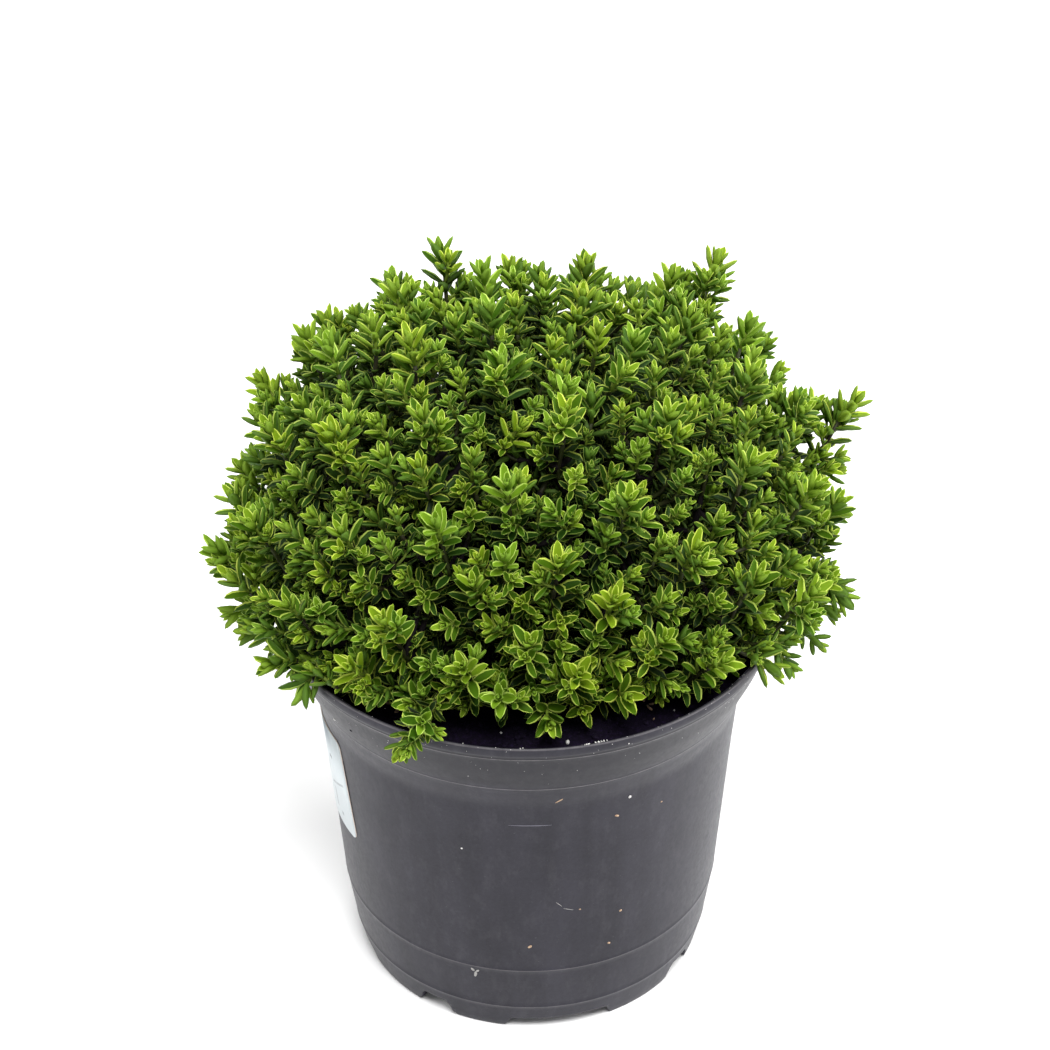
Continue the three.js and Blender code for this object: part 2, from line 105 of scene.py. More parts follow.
# Bits on the wall: azimuth and height, length and width, turn from level in degrees, and kind
WALL_BITS = (
    (-63.2, 75.2, 0.8, 0.8, 0, "white"),
    (-144.0, 88.1, 0.9, 0.7, 30, "white"),
    (-108.5, 61.4, 0.5, 0.5, 0, "white"),
    (-106.6, 19.2, 2.2, 0.8, 80, "grey"),
    (-107.4, 20.7, 1.2, 0.7, -50, "grey"),
    (-105.9, 20.5, 1.1, 0.6, 45, "grey"),
    (-136.5, 89.6, 0.9, 0.6, 20, "dark"),
    (-90.2, 30.7, 1.2, 0.7, 40, "tan"),
    (-66.6, 28.0, 0.9, 0.6, -30, "tan"),
    (-63.5, 38.0, 0.8, 0.6, 20, "tan"),
    (-82.6, 79.0, 2.4, 0.4, 40, "tan"),
    (-82.0, 44.6, 2.2, 0.14, -48, "grey"),
    (-79.3, 42.6, 2.8, 0.14, -20, "grey"),
    (-76.0, 42.0, 0.5, 0.4, 0, "tan"),
    (-66.6, 70.3, 1.2, 0.6, -25, "tan"),
    (-52.6, 69.1, 0.6, 0.4, 0, "tan"),
    (-90.0, 71.0, 10.6, 0.3, 0, "moulded"),
)

# Fine dust on the lip and the wall: half axes, how uneven they are, and a few larger grains
DUST_COUNT = 420
DUST_SEED = 8
DUST_SIZES = (0.04, 0.11)
DUST_SHAPES = (0.7, 1.6)
LARGE_DUST_COUNT = 12
LARGE_DUST_FACTOR = 1.6

# A lime crust on the lip: azimuth, share of the way in over the lip, and size
LIP_CRUST = (
    (-78.0, 0.5, 0.24),
    (-77.6, 0.7, 0.3),
    (-77.2, 0.6, 0.34),
    (-76.8, 0.9, 0.22),
    (-75.4, 0.95, 0.26),
    (-74.7, 1.0, 0.32),
    (-74.1, 1.0, 0.28),
    (-73.5, 0.95, 0.3),
    (-72.8, 1.0, 0.2),
    (-91.4, 1.0, 0.22),
)

# Chips on the compost: place, length and width, and turn in degrees
SOIL_CHIPS = (
    (-34.1, -26.6, 3.4, 1.3, 20),
    (-33.0, -28.4, 2.2, 0.9, -40),
    (-30.6, -31.5, 1.8, 1.0, 60),
    (27.0, -28.0, 2.8, 0.7, 70),
    (27.9, -30.4, 2.6, 0.6, -60),
    (28.6, -29.2, 1.6, 0.5, 15),
    (40.6, -15.0, 3.2, 0.9, 35),
    (45.2, -17.0, 3.6, 1.0, 50),
    (43.0, -16.4, 1.8, 0.6, -10),
)

# The compost
SOIL_LOW, SOIL_HIGH = (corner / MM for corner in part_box("soil"))
SOIL_HEIGHT = SOIL_HIGH.z
SOIL_EDGE_DROP = 1.6
SOIL_GAP = 0.35
SOIL_LUMPS = 1.1
SOIL_SEED = 5

# Grains scattered on it: how many, least radius, inset from its edge, and how far they are sunk
CRUMBS = (1300, 14, 1.5, 0.1)
PERLITE = (90, 20, 1.5, -0.25)
SPLINTERS = (12, 18, 3.5, -0.3)

# The label on the wall, angles in degrees
LABEL = {
    "azimuth": -174.8,
    "width": 42.6,
    "bottom": 43.2,
    "top": 72.4,
    "corner": 2,
    "thickness": 0.2,
    "gap": 0.05,
    "turn": 5,
}
LABEL_STRIPS = 28

# Its plain grey marks, as shares of its width and height: left, right, low, high, slope and strength
LABEL_MARKS = (
    (0.742, 0.789, 0.644, 0.676, 0, 1.0),
    (0.70, 0.94, -0.104, -0.080, 0.636, 0.6),
    (0.725, 0.760, 0.14, 0.33, 0, 0.5),
    (0.812, 0.845, 0.112, 0.146, 0, 0.7),
)

# The crown, by the same rule and sizes as the solids
CROWN_CENTRE = np.array([0.0, 4.0, 100.0])
CROWN_LEFT = 73
CROWN_RIGHT = 77
CROWN_FRONT = 53
FRONT_SKEW = 4
CROWN_BACK = 65
CROWN_HEIGHT = 78
CROWN_FULLNESS = 2.6
CROWN_SEED = 768
REACH_CHANGE = 0.03
GOLDEN_ANGLE = math.pi * (3 - math.sqrt(5))
MASK = 0xFFFFFFFF
UP = np.array([0, 0, 1.0])

STEM_FOOT = np.array([0.0, 1.0, SOIL_HEIGHT - 1.5])
STEM_RADIUS = 4.6
STEM_FLARE = 2.2
STEM_STEPS = 14
STEM_SIDES = 28
BOUGH_START_RADIUS = 2.3
BOUGH_END_RADIUS = 1.5
BOUGH_REACH = 26
BOUGH_RISE = 1.4
BOUGH_SIDES = 14
BARK_ACROSS = 0.9
BARK_ALONG = 0.28
BARK_RELIEF = 0.16

# The heights of the rings round the stem's round head, as shares of its radius
STEM_HEAD_LEVELS = (0.3, 0.465, 0.63, 0.795, 0.96)
MASS_RINGS = (
    {"name": "low", "count": 9, "elevation": 10, "azimuth": -90},
    {"name": "high", "count": 5, "elevation": 49, "azimuth": -54},
    {"name": "top", "count": 1, "elevation": 88, "azimuth": 90},
)
CORE_DEPTH = 14.5
CORE_LOWEST = 103
CORE_START = 2.2
CORE_HALF_HEIGHT = 6

SHOOT_COUNT = 86
SHOOT_LOWEST = -0.05
INSIDE_LOWEST = 98.5
INSIDE_MARGIN = 6
OVER_LIP_LOWEST = 104.5
OVER_LIP_MARGIN = 2
SHOOT_INSET = 4.5
SHOOT_LENGTH = 14
HANG_RISE = 3
HANG_OUT = 1
HANG_REACH = 9
SOURCE_LEAF_REACH = 10.8
SPRIG_TIPS = (
    (-24, 38, 175),
    (46, 37, 173),
    (79, 16, 146),
    (-76, -1, 116),
    (-64, 21, 150),
    (-68, -17, 101),
    (-52, -38, 97),
    (-26, -66, 101),
    (60, -24, 104),
    (70, -8, 104),
)

# The finer shoots between those, in layers from the dome's face inwards
FINE_LAYERS = (
    {"count": 900, "reach": (0.89, 0.985), "lowest": -0.08, "spacing": 7.3, "age": 0, "side_tries": 1},
    {"count": 1000, "reach": (0.80, 0.87), "lowest": -0.1, "spacing": 6.6, "age": 1, "side_tries": 1},
    {"count": 700, "reach": (0.67, 0.74), "lowest": -0.1, "spacing": 7.2, "age": 2, "side_tries": 0},
    {"count": 420, "reach": (0.50, 0.58), "lowest": -0.05, "spacing": 7.6, "age": 3, "side_tries": 0},
)
FINE_SEED = 41
FINE_SCATTER = 0.02
FINE_TILT = 0.22
FINE_VIGOUR = (0.66, 1.02)
BRANCH_SHARES = (0.35, 0.62)
BRANCH_SHORTEST = 12
BRANCH_FORWARD = 0.35
BRANCH_SAG = 1.2
KNEE_BACK = 9.0
PATH_STEPS = 22
LOW_BRANCH_STEP = 2
RAISE_TRIES = 30
MAIN_CLEARANCE = 1.2
FINE_CLEARANCE = 0.9
BUD_CLEARANCE = 1.0
LOW_LIFT = 0.4
HIGH_LIFT = 1.1
LIFT_RISE = 0.35
FINE_LIFT = 0.5
BUD_LENGTH = 3.0
LEADER_VIGOUR = 1.18

# Small side shoots in the leaf pairs below a bud
SIDE_CHANCE = 0.6
SIDE_BACK = (6.0, 12.0)
LEADER_TRIES = 4
SPRIG_TRIES = 12
SPRIG_REACH = 24.0
SIDE_LENGTH = (5.5, 8.5)
SIDE_SPREAD = (36, 56)
SIDE_VIGOUR = (0.62, 0.85)
SIDE_STEPS = 5
NEWEST_TWIG = 7.5

# The sprig that hangs over the front of the lip, and its tufts: bud, direction and vigour. They branch
# from it so many steps before its bud
HANGING_SPRIG = (-26, -66, 101)
HANGING_VIGOUR = 0.85
TUFT_STEP = 8
HANGING_TUFTS = (
    ((-23.4, -60.5, 109.0), (0.05, -0.8, 0.6), 1.2),
    ((-26.5, -64.5, 104.0), (-0.2, -0.9, -0.1), 0.75),
    ((-19.8, -60.5, 106.0), (0.7, -0.65, 0.1), 0.62),
)

# Leaf pairs from a shoot's bud downwards: distance, angle from the twig in degrees, length as a share,
# bend in radians, and how many ages older than their shoot
PAIR_PLACES = (0.2, 0.8, 1.7, 2.9, 4.3, 5.9, 7.7, 9.6, 11.6, 13.7, 15.9, 18.2)
PAIR_SPREADS = (8, 23, 35, 45, 52, 57, 61, 65, 68, 70, 71, 72)
PAIR_LENGTHS = (0.36, 0.64, 0.88, 1.0, 1.0, 1.0, 0.97, 0.95, 0.92, 0.9, 0.88, 0.86)
PAIR_CURLS = (0.12, 0.22, 0.30, 0.34, 0.34, 0.28, 0.2, 0.14, 0.08, 0.04, 0.0, 0.0)
PAIR_AGES = (0, 0, 0, 1, 1, 1, 2, 2, 3, 3, 3, 3)
INNER_PAIRS = 10
PAIR_STRETCH = (0.9, 1.12)
VIGOUR_POWER = 0.4
BARE_ROOT = 2.5
LEAF_SEED = 12
BRIGHT_CHANCE = 0.14
BRIGHT_LEADER_CHANCE = 0.34

# How the leaves of a pair vary: spreads of the normal draws, and ranges of the even ones
TURN_SPREAD = 0.10
ANGLE_SPREAD = 5
TWIST_SPREAD = 0.12
CURL_SPREAD = 0.12
LENGTH_CHANGE = (0.92, 1.06)
WIDTH_CHANGE = (0.92, 1.08)
LEAF_TIP_CLEARANCE = 0.5
LEAF_MIDDLE_CLEARANCE = 0.9

# The twig that a leaf's root is sunk into: radius at the bud, and how it thickens downwards
BUD_TWIG_RADIUS = 0.32
TWIG_THICKENING = 0.4
THICKENING_LENGTH = 30
ROOT_SUNK = 0.25

# One leaf: rows from its root to its tip, with its half width there as a share of its widest. The ages
# run from the bud downwards, each with its rows and with how much of the margin's colour its edge takes
LEAF_FINE_ROWS = ((0.10, 0.52), (0.35, 0.94), (0.63, 0.98), (0.88, 0.58))
LEAF_FAIR_ROWS = ((0.15, 0.62), (0.51, 1.0), (0.85, 0.65))
LEAF_PLAIN_ROWS = ((0.22, 0.78), (0.70, 0.86))
# The ages darken from the bud down each shoot and inwards through the crown's layers, and their margins
# dim. This is partly the older leaves' own darker colour and partly painted shade deep in the crown.
AGES = ("young", "fresh", "mature", "deep")
LEAF_ROWS = dict(zip(AGES, (LEAF_FAIR_ROWS, LEAF_FINE_ROWS, LEAF_FAIR_ROWS, LEAF_PLAIN_ROWS)))
MARGIN_SHARES = dict(zip(AGES, (0.74, 0.64, 0.44, 0.22)))
LEAF_TOP_STATIONS = (-1.0, -0.73, 0.0, 0.73, 1.0)
LEAF_CUP = 0.72
MARGIN_DROP = 0.30
BLADE, MARGIN, UNDERSIDE = 0, 1, 2
MOST_TRIANGLES = 190_000

# The tones of spray, as factors on a leaf's colour, and the share of the sprays that has each
SPRAY_TONES = {"plain": (1, 1, 1), "warm": (1.08, 1.03, 0.88), "cool": (0.88, 0.96, 1.06)}
TONE_SHARES = (0.5, 0.28, 0.22)

# Pieces of twig by kind: sides round, steps along, and radii of their lower and upper end. The brown
# and the olive kind share two steps of a shoot
TWIG_SHAPES = {
    "green": (5, 4, (0.5, 0.36)),
    "side": (4, SIDE_STEPS, (0.42, 0.3)),
    "olive": (5, 5, (0.66, 0.5)),
    "brown": (5, 5, (0.9, 0.66)),
}
INNER_BROWN_RADII = (0.75, 0.66)
BOUGH_TO_MIDDLE_RADII = (BOUGH_END_RADIUS, 1.1)
OLIVE_START = 8
BROWN_STEPS = 10

# The photograph's camera: place in metres, turns in degrees, lens and sensor in millimetres
CAMERA_PLACE = (0.0, -0.5197, 0.4689)
CAMERA_DIP = 33.87
CAMERA_ROLL = -0.418
CAMERA_YAW = 0.072
CAMERA_LENS = 91.24
CAMERA_SENSOR = 36.0

# The lights, in metres: place, what each one faces, size, and share of the key light's power
LIGHTS = {
    "key_light": ((0.1, -0.5, 0.95), (0, 0, 0.1), 0.45, 1.0),
    "back_light": ((-0.1, 0.8, 0.7), (0, 0, 0.1), 0.8, 0.5),
    "left_light": ((-0.85, -0.1, 0.5), (0, 0, 0.08), 0.6, 0.36),
    "right_light": ((0.85, 0.0, 0.5), (0, 0, 0.08), 0.6, 0.72),
}


def linear(red, green, blue):
    """A colour from its 0 to 255 display values, as Blender's shaders want it."""
    shares = (channel / 255 for channel in (red, green, blue))
    return tuple(c / 12.92 if c <= 0.04045 else ((c + 0.055) / 1.055) ** 2.4 for c in shares)


def colour_property(name, description, colour):
    return bpy.props.FloatVectorProperty(
        name=name, description=description, default=colour, subtype="COLOR", min=0, max=1
    )


def length_property(name, description, millimetres):
    return bpy.props.FloatProperty(
        name=name, description=description, default=millimetres * MM, unit="LENGTH", subtype="DISTANCE"
    )


class HEBE_PG_pot(bpy.types.PropertyGroup):
    """The pot, its compost and its label."""

    rib_proud: length_property("Rib height", "How far the moulded rings stand proud", RIB_PROUD)
    lip_rounding: length_property("Lip rounding", "Radius of the rounded lip", LIP_ROUNDING)
    plastic: colour_property("Plastic", "Colour of the pot", linear(44, 43, 50))
    compost: colour_property("Compost", "Colour of the compost", linear(23, 14, 36))
    paper: colour_property("Label", "Colour of the label's face", linear(188, 196, 199))


class HEBE_PG_plant(bpy.types.PropertyGroup):
    """The leaves, the twigs and their colours."""

    leaf_length: length_property("Leaf length", "Length of a full-grown leaf", 6.0)
    leaf_width: length_property("Leaf width", "Width of a full-grown leaf", 2.25)
    leaf_thickness: length_property("Leaf thickness", "Thickness of a leaf at its middle", 0.46)
    young: colour_property("Young leaves", "Colour of the leaves round a bud", linear(116, 146, 31))
    fresh: colour_property("Fresh leaves", "Colour of the leaves below them", linear(66, 98, 16))
    mature: colour_property("Mature leaves", "Colour of the full-grown leaves", linear(36, 62, 13))
    # The inner leaves' colour is partly their age and partly painted shade deep in the crown.
    deep: colour_property("Inner leaves", "Colour of the oldest leaves", linear(23, 41, 14))
    margin: colour_property("Leaf margin", "Colour of the pale line round a leaf", linear(216, 236, 110))
    green_twig: colour_property("Green twig", "Colour of this year's twigs", linear(112, 133, 46))
    old_twig: colour_property("Older twig", "Colour of the twigs below those", linear(46, 52, 24))
    bark: colour_property("Bark", "Colour of the older wood", linear(24, 19, 21))


class HEBE_PG_stage(bpy.types.PropertyGroup):
    """The floor and the light."""

    floor: colour_property("Floor", "Colour of the floor", (0.96, 0.96, 0.96))
    sky: bpy.props.FloatProperty(
        name="Surrounding light", description="Strength of the even white light", default=0.46, min=0
    )
    key: bpy.props.FloatProperty(
        name="Key light", description="Power of the large light above", default=10.6, unit="POWER", min=0
    )


class HEBE_PG_settings(bpy.types.PropertyGroup):
    """Everything about the potted hebe that a user would change."""

    pot: bpy.props.PointerProperty(type=HEBE_PG_pot)
    plant: bpy.props.PointerProperty(type=HEBE_PG_plant)
    stage: bpy.props.PointerProperty(type=HEBE_PG_stage)


class Signal:
    """A shader socket that can stand in a sum, so that a pattern is written as an expression."""

    def __init__(self, finish, socket):
        self.finish = finish
        self.socket = socket

    def join(self, operation, first, second):
        return self.finish.node("Math", {"operation": operation}, {0: first, 1: second})

    def __add__(self, other):
        return self.join("ADD", self, other)

    def __radd__(self, other):
        return self.join("ADD", other, self)

    def __sub__(self, other):
        return self.join("SUBTRACT", self, other)

    def __rsub__(self, other):
        return self.join("SUBTRACT", other, self)

    def __mul__(self, other):
        return self.join("MULTIPLY", self, other)

    def __rmul__(self, other):
        return self.join("MULTIPLY", other, self)

    def __gt__(self, other):
        return self.join("GREATER_THAN", self, other)

    def __lt__(self, other):
        return self.join("LESS_THAN", self, other)


class Finish:
    """A material in the making: its surface shader, and one way to add any other node."""

    def __init__(self, name, **constants):
        self.material = bpy.data.materials.new(name)
        self.material.use_nodes = True
        self.tree = self.material.node_tree
        self.surface = self.tree.nodes["Principled BSDF"]
        for name, value in constants.items():
            socket = name.replace("_", " ").title().replace("Ior", "IOR")
            self.surface.inputs[socket].default_value = value

    def node(self, kind, settings=None, inputs=None, output=0):
        made = self.tree.nodes.new("ShaderNode" + kind)
        for key, value in (settings or {}).items():
            setattr(made, key, value)
        for key, value in (inputs or {}).items():
            self.feed(made.inputs[key], value)
        return Signal(self, made.outputs[output])

    def feed(self, socket, value):
        if isinstance(value, Signal):
            self.tree.links.new(value.socket, socket)
        elif isinstance(value, tuple) and len(value) == 3 and socket.type == "RGBA":
            socket.default_value = (*value, 1)
        else:
            socket.default_value = value

    def drive(self, **inputs):
        for socket, value in inputs.items():
            self.feed(self.surface.inputs[socket.replace("_", " ").title()], value)

    def place(self, stretch=EVENLY):
        """A point on the piece, in millimetres, stretched for a pattern."""
        point = self.node("TexCoord", output="Object")
        scale = tuple(factor / MM for factor in stretch)
        return self.node("Mapping", None, {"Vector": point, "Scale": scale})

    def part(self, point, axis):
        """One coordinate of a point."""
        return self.node("SeparateXYZ", None, {0: point}, axis)

    def cloud(self, scale, stretch=EVENLY, detail=3.0, roughness=0.55):
        """Smooth noise from 0 to 1, with so many changes to the millimetre."""
        wanted = {"Scale": scale, "Detail": detail, "Roughness": roughness}
        return self.node("TexNoise", None, {"Vector": self.place(stretch), **wanted}, "Fac")

    def between(self, share, low, high, low_end=0.0, high_end=1.0):
        """A share brought from its own range to another one, and held there."""
        wanted = {"Value": share, 1: low, 2: high, 3: low_end, 4: high_end}
        return self.node("MapRange", {"clamp": True}, wanted)

    def patches(self, low, high, scale, *cloud):
        """Noise with its middle range spread out to 0 to 1."""
        return self.between(self.cloud(scale, *cloud), low, high)

    def mix(self, share, first, second):
        wanted = {"Factor": share, 6: first, 7: second}
        return self.node("Mix", {"data_type": "RGBA"}, wanted, 2)

    def bump(self, height, strength, distance):
        wanted = {"Height": height, "Strength": strength, "Distance": distance * MM}
        self.drive(Normal=self.node("Bump", None, wanted))


def tinted(colour, factors):
    return tuple(min(1.0, channel * factor) for channel, factor in zip(colour, factors))


def scaled(colour, factor):
    return tinted(colour, (factor,) * 3)


def pot_plastic(settings):
    """Dark satin plastic: mottled and dusty, with painted shade on the flared band under the lip, and
    pale lines on its rings and lip that are partly rubbed pale by use and partly a painted highlight.
    """
    finish = Finish("pot_plastic", specular_ior_level=0.16)
    streaks = finish.cloud(0.16, (1, 1, 0.08), 4)
    mottle = finish.cloud(0.07)
    dust = finish.patches(0.64, 0.78, 1.3, EVENLY, 5, 0.7)
    base = tuple(settings.plastic)
    tone = finish.between(0.6 * streaks + 0.4 * mottle, 0.35, 0.65)
    grain = finish.patches(0.3, 0.7, 1.1, EVENLY, 4, 0.75)
    body = finish.mix(0.6 * tone + 0.4 * grain, scaled(base, 0.66), scaled(base, 1.3))
    height = finish.part(finish.place(), "Z")
    # Painted shade: the flared band from the upper ring up to the lip is mixed darker.
    body = finish.mix(finish.between(height, 84, 87) * (height < 98), body, scaled(base, 0.62))
    # Pale lines on the lip's top and on the rings, stronger on the upper rings: partly rubbed pale by
    # use, partly a painted highlight along their edges.
    highlit_and_worn_lines = (height > POT_HEIGHT - 0.3) * 0.4
    for rib in RIB_HEIGHTS:
        highlit_and_worn_lines = highlit_and_worn_lines + (height > rib - 0.12) * (height < rib + 0.14) * (0.8 if rib > 50 else 0.45)
    highlight_and_wear = highlit_and_worn_lines * finish.between(finish.cloud(0.25, EVENLY, 4, 0.7), 0.3, 0.65, 0.3, 0.85)
    body = finish.mix(highlight_and_wear, body, linear(132, 128, 130))
    scuffs = finish.patches(0.5, 0.74, 0.32, (1, 1, 0.5), 5, 0.72)
    body = finish.mix(scuffs * 0.04, body, linear(150, 146, 150))
    finish.drive(base_color=finish.mix(dust * 0.12, body, linear(170, 168, 166)))
    scratches = finish.patches(0.4, 0.7, 0.8, (1, 1, 0.7), 6, 0.7)
    finish.drive(roughness=finish.between(scratches + dust * 0.5, 0.0, 1.5, 0.36, 0.5))
    finish.bump(finish.cloud(2.2) + scratches * 0.4, 0.12, 0.05)
    return finish.material


def inner_wall_finish(settings):
    """The inside of the wall, stained by the compost and dotted with fine dust."""
    finish = Finish("inner_wall", roughness=0.6, specular_ior_level=0.2)
    stains = finish.patches(0.35, 0.65, 0.3, EVENLY, 5, 0.7)
    dots = finish.patches(0.66, 0.76, 1.9, EVENLY, 4, 0.7)
    base = tuple(settings.compost)
    body = finish.mix(stains, scaled(base, 0.9), scaled(tuple(settings.plastic), 0.7))
    finish.drive(base_color=finish.mix(dots * 0.35, body, linear(150, 146, 150)))
    finish.bump(stains, 0.2, 0.1)
    return finish.material


def grained_finish(name, roughness, dark, light, grain, bump=()):
    """Two colours mixed by one noise. The noise is as for cloud, and the bump a strength and a depth."""
    finish = Finish(name, roughness=roughness)
    pattern = finish.cloud(*grain)
    finish.drive(base_color=finish.mix(pattern, dark, light))
    if bump:
        finish.bump(pattern, *bump)
    return finish.material


def moulded_finish(settings):
    """The bare plastic of a moulding mark, polished a little lighter than the wall."""
    base = tuple(settings.plastic)
    return grained_finish("moulded_mark", 0.4, scaled(base, 2.4), scaled(base, 4.2), (0.8,))


def compost_finish(settings):
    """Moist dark compost: nearly black, with a purple cast and paler fibres."""
    finish = Finish("moist_compost", specular_ior_level=0.12)
    base = tuple(settings.compost)
    fibres = finish.patches(0.5, 0.72, 1.1, EVENLY, 6, 0.7)
    finish.drive(base_color=finish.mix(fibres, scaled(base, 0.45), scaled(base, 1.7)))
    finish.drive(roughness=finish.between(finish.cloud(0.6), 0.3, 0.7, 0.62, 0.95))
    finish.bump(finish.cloud(1.6, EVENLY, 6, 0.7), 0.8, 0.5)
    return finish.material


def mineral_finish(name="perlite_grain", shade=1.0):
    """White, crumbly grains, or greyer ones by a lower shade."""
    dark, light = linear(150, 148, 146), linear(236, 234, 230)
    colours = scaled(dark, shade), scaled(light, shade)
    return grained_finish(name, 0.85, *colours, (2.5, EVENLY, 4), (0.6, 0.2))


def chip_finish():
    """Tan splinters of wood and husk."""
    dark, light = linear(104, 76, 62), linear(206, 178, 146)
    return grained_finish("tan_chip", 0.8, dark, light, (1.4, (1, 1, 0.3), 4), (0.6, 0.2))


def bark_finish(settings):
    """Brown wood with fine cracks along it."""
    finish = Finish("brown_bark", specular_ior_level=0.12)
    base = tuple(settings.bark)
    grain = finish.cloud(0.9, (1, 1, 0.35), 6, 0.65)
    cracks = finish.between(grain, 0.35, 0.65)
    finish.drive(base_color=finish.mix(cracks, scaled(base, 0.45), scaled(base, 1.2)))
    finish.drive(roughness=finish.between(grain, 0.3, 0.7, 0.95, 0.75))
    finish.bump(grain, 0.8, 0.4)
    return finish.material


def twig_finish(name, colour, patch_colour):
    """Smooth skin of a twig, with patches of a second colour."""
    finish = Finish(name, roughness=0.5, specular_ior_level=0.15)
    patches = finish.patches(0.4, 0.62, 0.12)
    finish.drive(base_color=finish.mix(patches, tuple(colour), patch_colour))
    finish.bump(finish.cloud(1.6), 0.3, 0.1)
    return finish.material


def leaf_finish(name, colour, roughness, bump):
    """A leaf's skin: one plain colour, a satin shine and a faintly uneven face."""
    finish = Finish(name, base_color=(*colour, 1), roughness=roughness, specular_ior_level=0.09)
    finish.bump(finish.cloud(1.2, EVENLY, 2), bump, 0.08)
    return finish.material


def label_finish(settings):
    """Glossy pale paper with a few plain grey marks, laid out on the label's own map."""
    finish = Finish("label_paper", roughness=0.32)
    own_map = finish.node("UVMap", {"uv_map": "label_map"})
    across, up = finish.part(own_map, "X"), finish.part(own_map, "Y")
    marks = 0.0
    for left, right, low, high, slope, strength in LABEL_MARKS:
        level = up - across * slope
        inside = (across > left) * (across < right) * (level > low) * (level < high)
        marks = marks + strength * inside
    faded = finish.between(across, 0.74, 0.86)
    smear = finish.between(up, 0.70, 0.92) * (across > 0.66) * (1 - faded)
    blot = finish.between(finish.cloud(0.5), 0.2, 0.5, 0.4, 1.0)
    paper = tuple(settings.paper)
    printed = finish.mix(smear * 0.75, paper, linear(118, 130, 140))
    printed = finish.mix(marks * blot, printed, linear(66, 78, 88))
    finish.drive(base_color=printed)
    finish.bump(finish.cloud(0.5), 0.1, 0.1)
    return finish.material


def label_edge_finish():
    """The cut edge of the label, a little browned."""
    return grained_finish("label_edge", 0.6, linear(206, 184, 166), linear(238, 230, 220), (0.6,))


def add_piece(name, mesh, finishes, slot, stands_for=()):
    """Puts a finished mesh in the scene, riding on the plant's one body."""
    for finish in finishes:
        mesh.materials.append(finish)
    piece = bpy.data.objects.new(name, mesh)
    bpy.context.scene.collection.objects.link(piece)
    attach(piece, "root")
    if stands_for:
        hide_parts(*stands_for)


def closed_mesh(bm, name):
    """Closes a shape's seams, points its faces outwards and brings it to metres."""
    bmesh.ops.remove_doubles(bm, verts=bm.verts, dist=0.004)
    bmesh.ops.dissolve_degenerate(bm, edges=bm.edges, dist=0.002)
    bmesh.ops.recalc_face_normals(bm, faces=bm.faces)
    bmesh.ops.scale(bm, vec=(MM, MM, MM), verts=bm.verts)
    for face in bm.faces:
        face.smooth = True
    mesh = bpy.data.meshes.new(name)
    bm.to_mesh(mesh)
    bm.free()
    return mesh


def joined_copies(name, corners, faces, kinds, smooth=True):
    """One mesh of many copies of a shape: corners are copies by points by 3, kinds copies by faces."""
    copies, points = corners.shape[:2]
    sides = np.array([len(face) for face in faces])
    around = np.concatenate([np.array(face) for face in faces])
    starts = np.concatenate([[0], np.cumsum(sides)[:-1]])
    firsts = np.arange(copies)[:, None]
    surfaces = np.broadcast_to(kinds, (copies, len(faces)))
    mesh = bpy.data.meshes.new(name)
    mesh.vertices.add(copies * points)
    mesh.vertices.foreach_set("co", (corners * MM).astype(np.float32).ravel())
    mesh.loops.add(copies * len(around))
    mesh.loops.foreach_set("vertex_index", (around + points * firsts).astype(np.int32).ravel())
    mesh.polygons.add(copies * len(faces))
    mesh.polygons.foreach_set("loop_start", (starts + len(around) * firsts).astype(np.int32).ravel())
    mesh.polygons.foreach_set("material_index", surfaces.astype(np.int32).ravel())
    mesh.polygons.foreach_set("use_smooth", np.full(copies * len(faces), smooth))
    mesh.update(calc_edges=True)
    mesh.validate()
    return mesh


def spun(profile, steps):
    """A profile of radius and height turned a full circle about the vertical axis."""
    bm = bmesh.new()
    points = [bm.verts.new((radius, 0, height)) for radius, height in profile]
    edges = [bm.edges.new(pair) for pair in zip(points, points[1:])]
    bmesh.ops.spin(
        bm,
        geom=points + edges,
        cent=(0, 0, 0),
        axis=(0, 0, 1),
        angle=math.tau,
        steps=steps,
        use_merge=True,
        use_duplicate=False,
    )
    return bm


def pot_radius(height):
    """The radius of the pot's outside at a height."""
    radii, heights = zip(*POT_OUTLINE)
    return float(np.interp(height, heights, radii))


def round_axis(radius, angle, height):
    """A place at a radius and an angle round the pot's axis."""
    return radius * math.cos(angle), radius * math.sin(angle), height


def rib_profile(low, high, proud):
    """The wall's outside between two heights, with the moulded rings on it."""
    points = []
    for height in np.arange(low, high, WALL_STEP):
        if all(abs(height - rib) > RIB_WIDTH for rib in RIB_HEIGHTS):
            points.append((pot_radius(height), height))
    for rib in RIB_HEIGHTS:
        if low < rib < high:
            half = RIB_WIDTH / 2
            for shift, share in ((-half, 0), (-half / 2, 0.8), (0, 1), (half / 2, 0.8), (half, 0)):
                points.append((pot_radius(rib + shift) + share * proud, rib + shift))
    return sorted(points, key=lambda point: point[1])


def arc(centre, radius, start, end, steps=5):
    """Points round a corner of the profile, angles in degrees."""
    angles = np.radians(np.linspace(start, end, steps))
    return [(centre[0] + radius * math.cos(a), centre[1] + radius * math.sin(a)) for a in angles]


def recess_height(azimuth, radius, size):
    """How far one kind of recess raises the foot at a place."""
    if radius < size["inner_radius"]:
        return 0.0
    repeat = 360 / FOOT_REPEATS
    turn = (azimuth - size["azimuth"] + repeat / 2) % repeat - repeat / 2
    inside = (size["width"] / 2 - abs(turn)) / RECESS_RAMP + 0.5
    return size["height"] * min(1.0, max(0.0, inside))


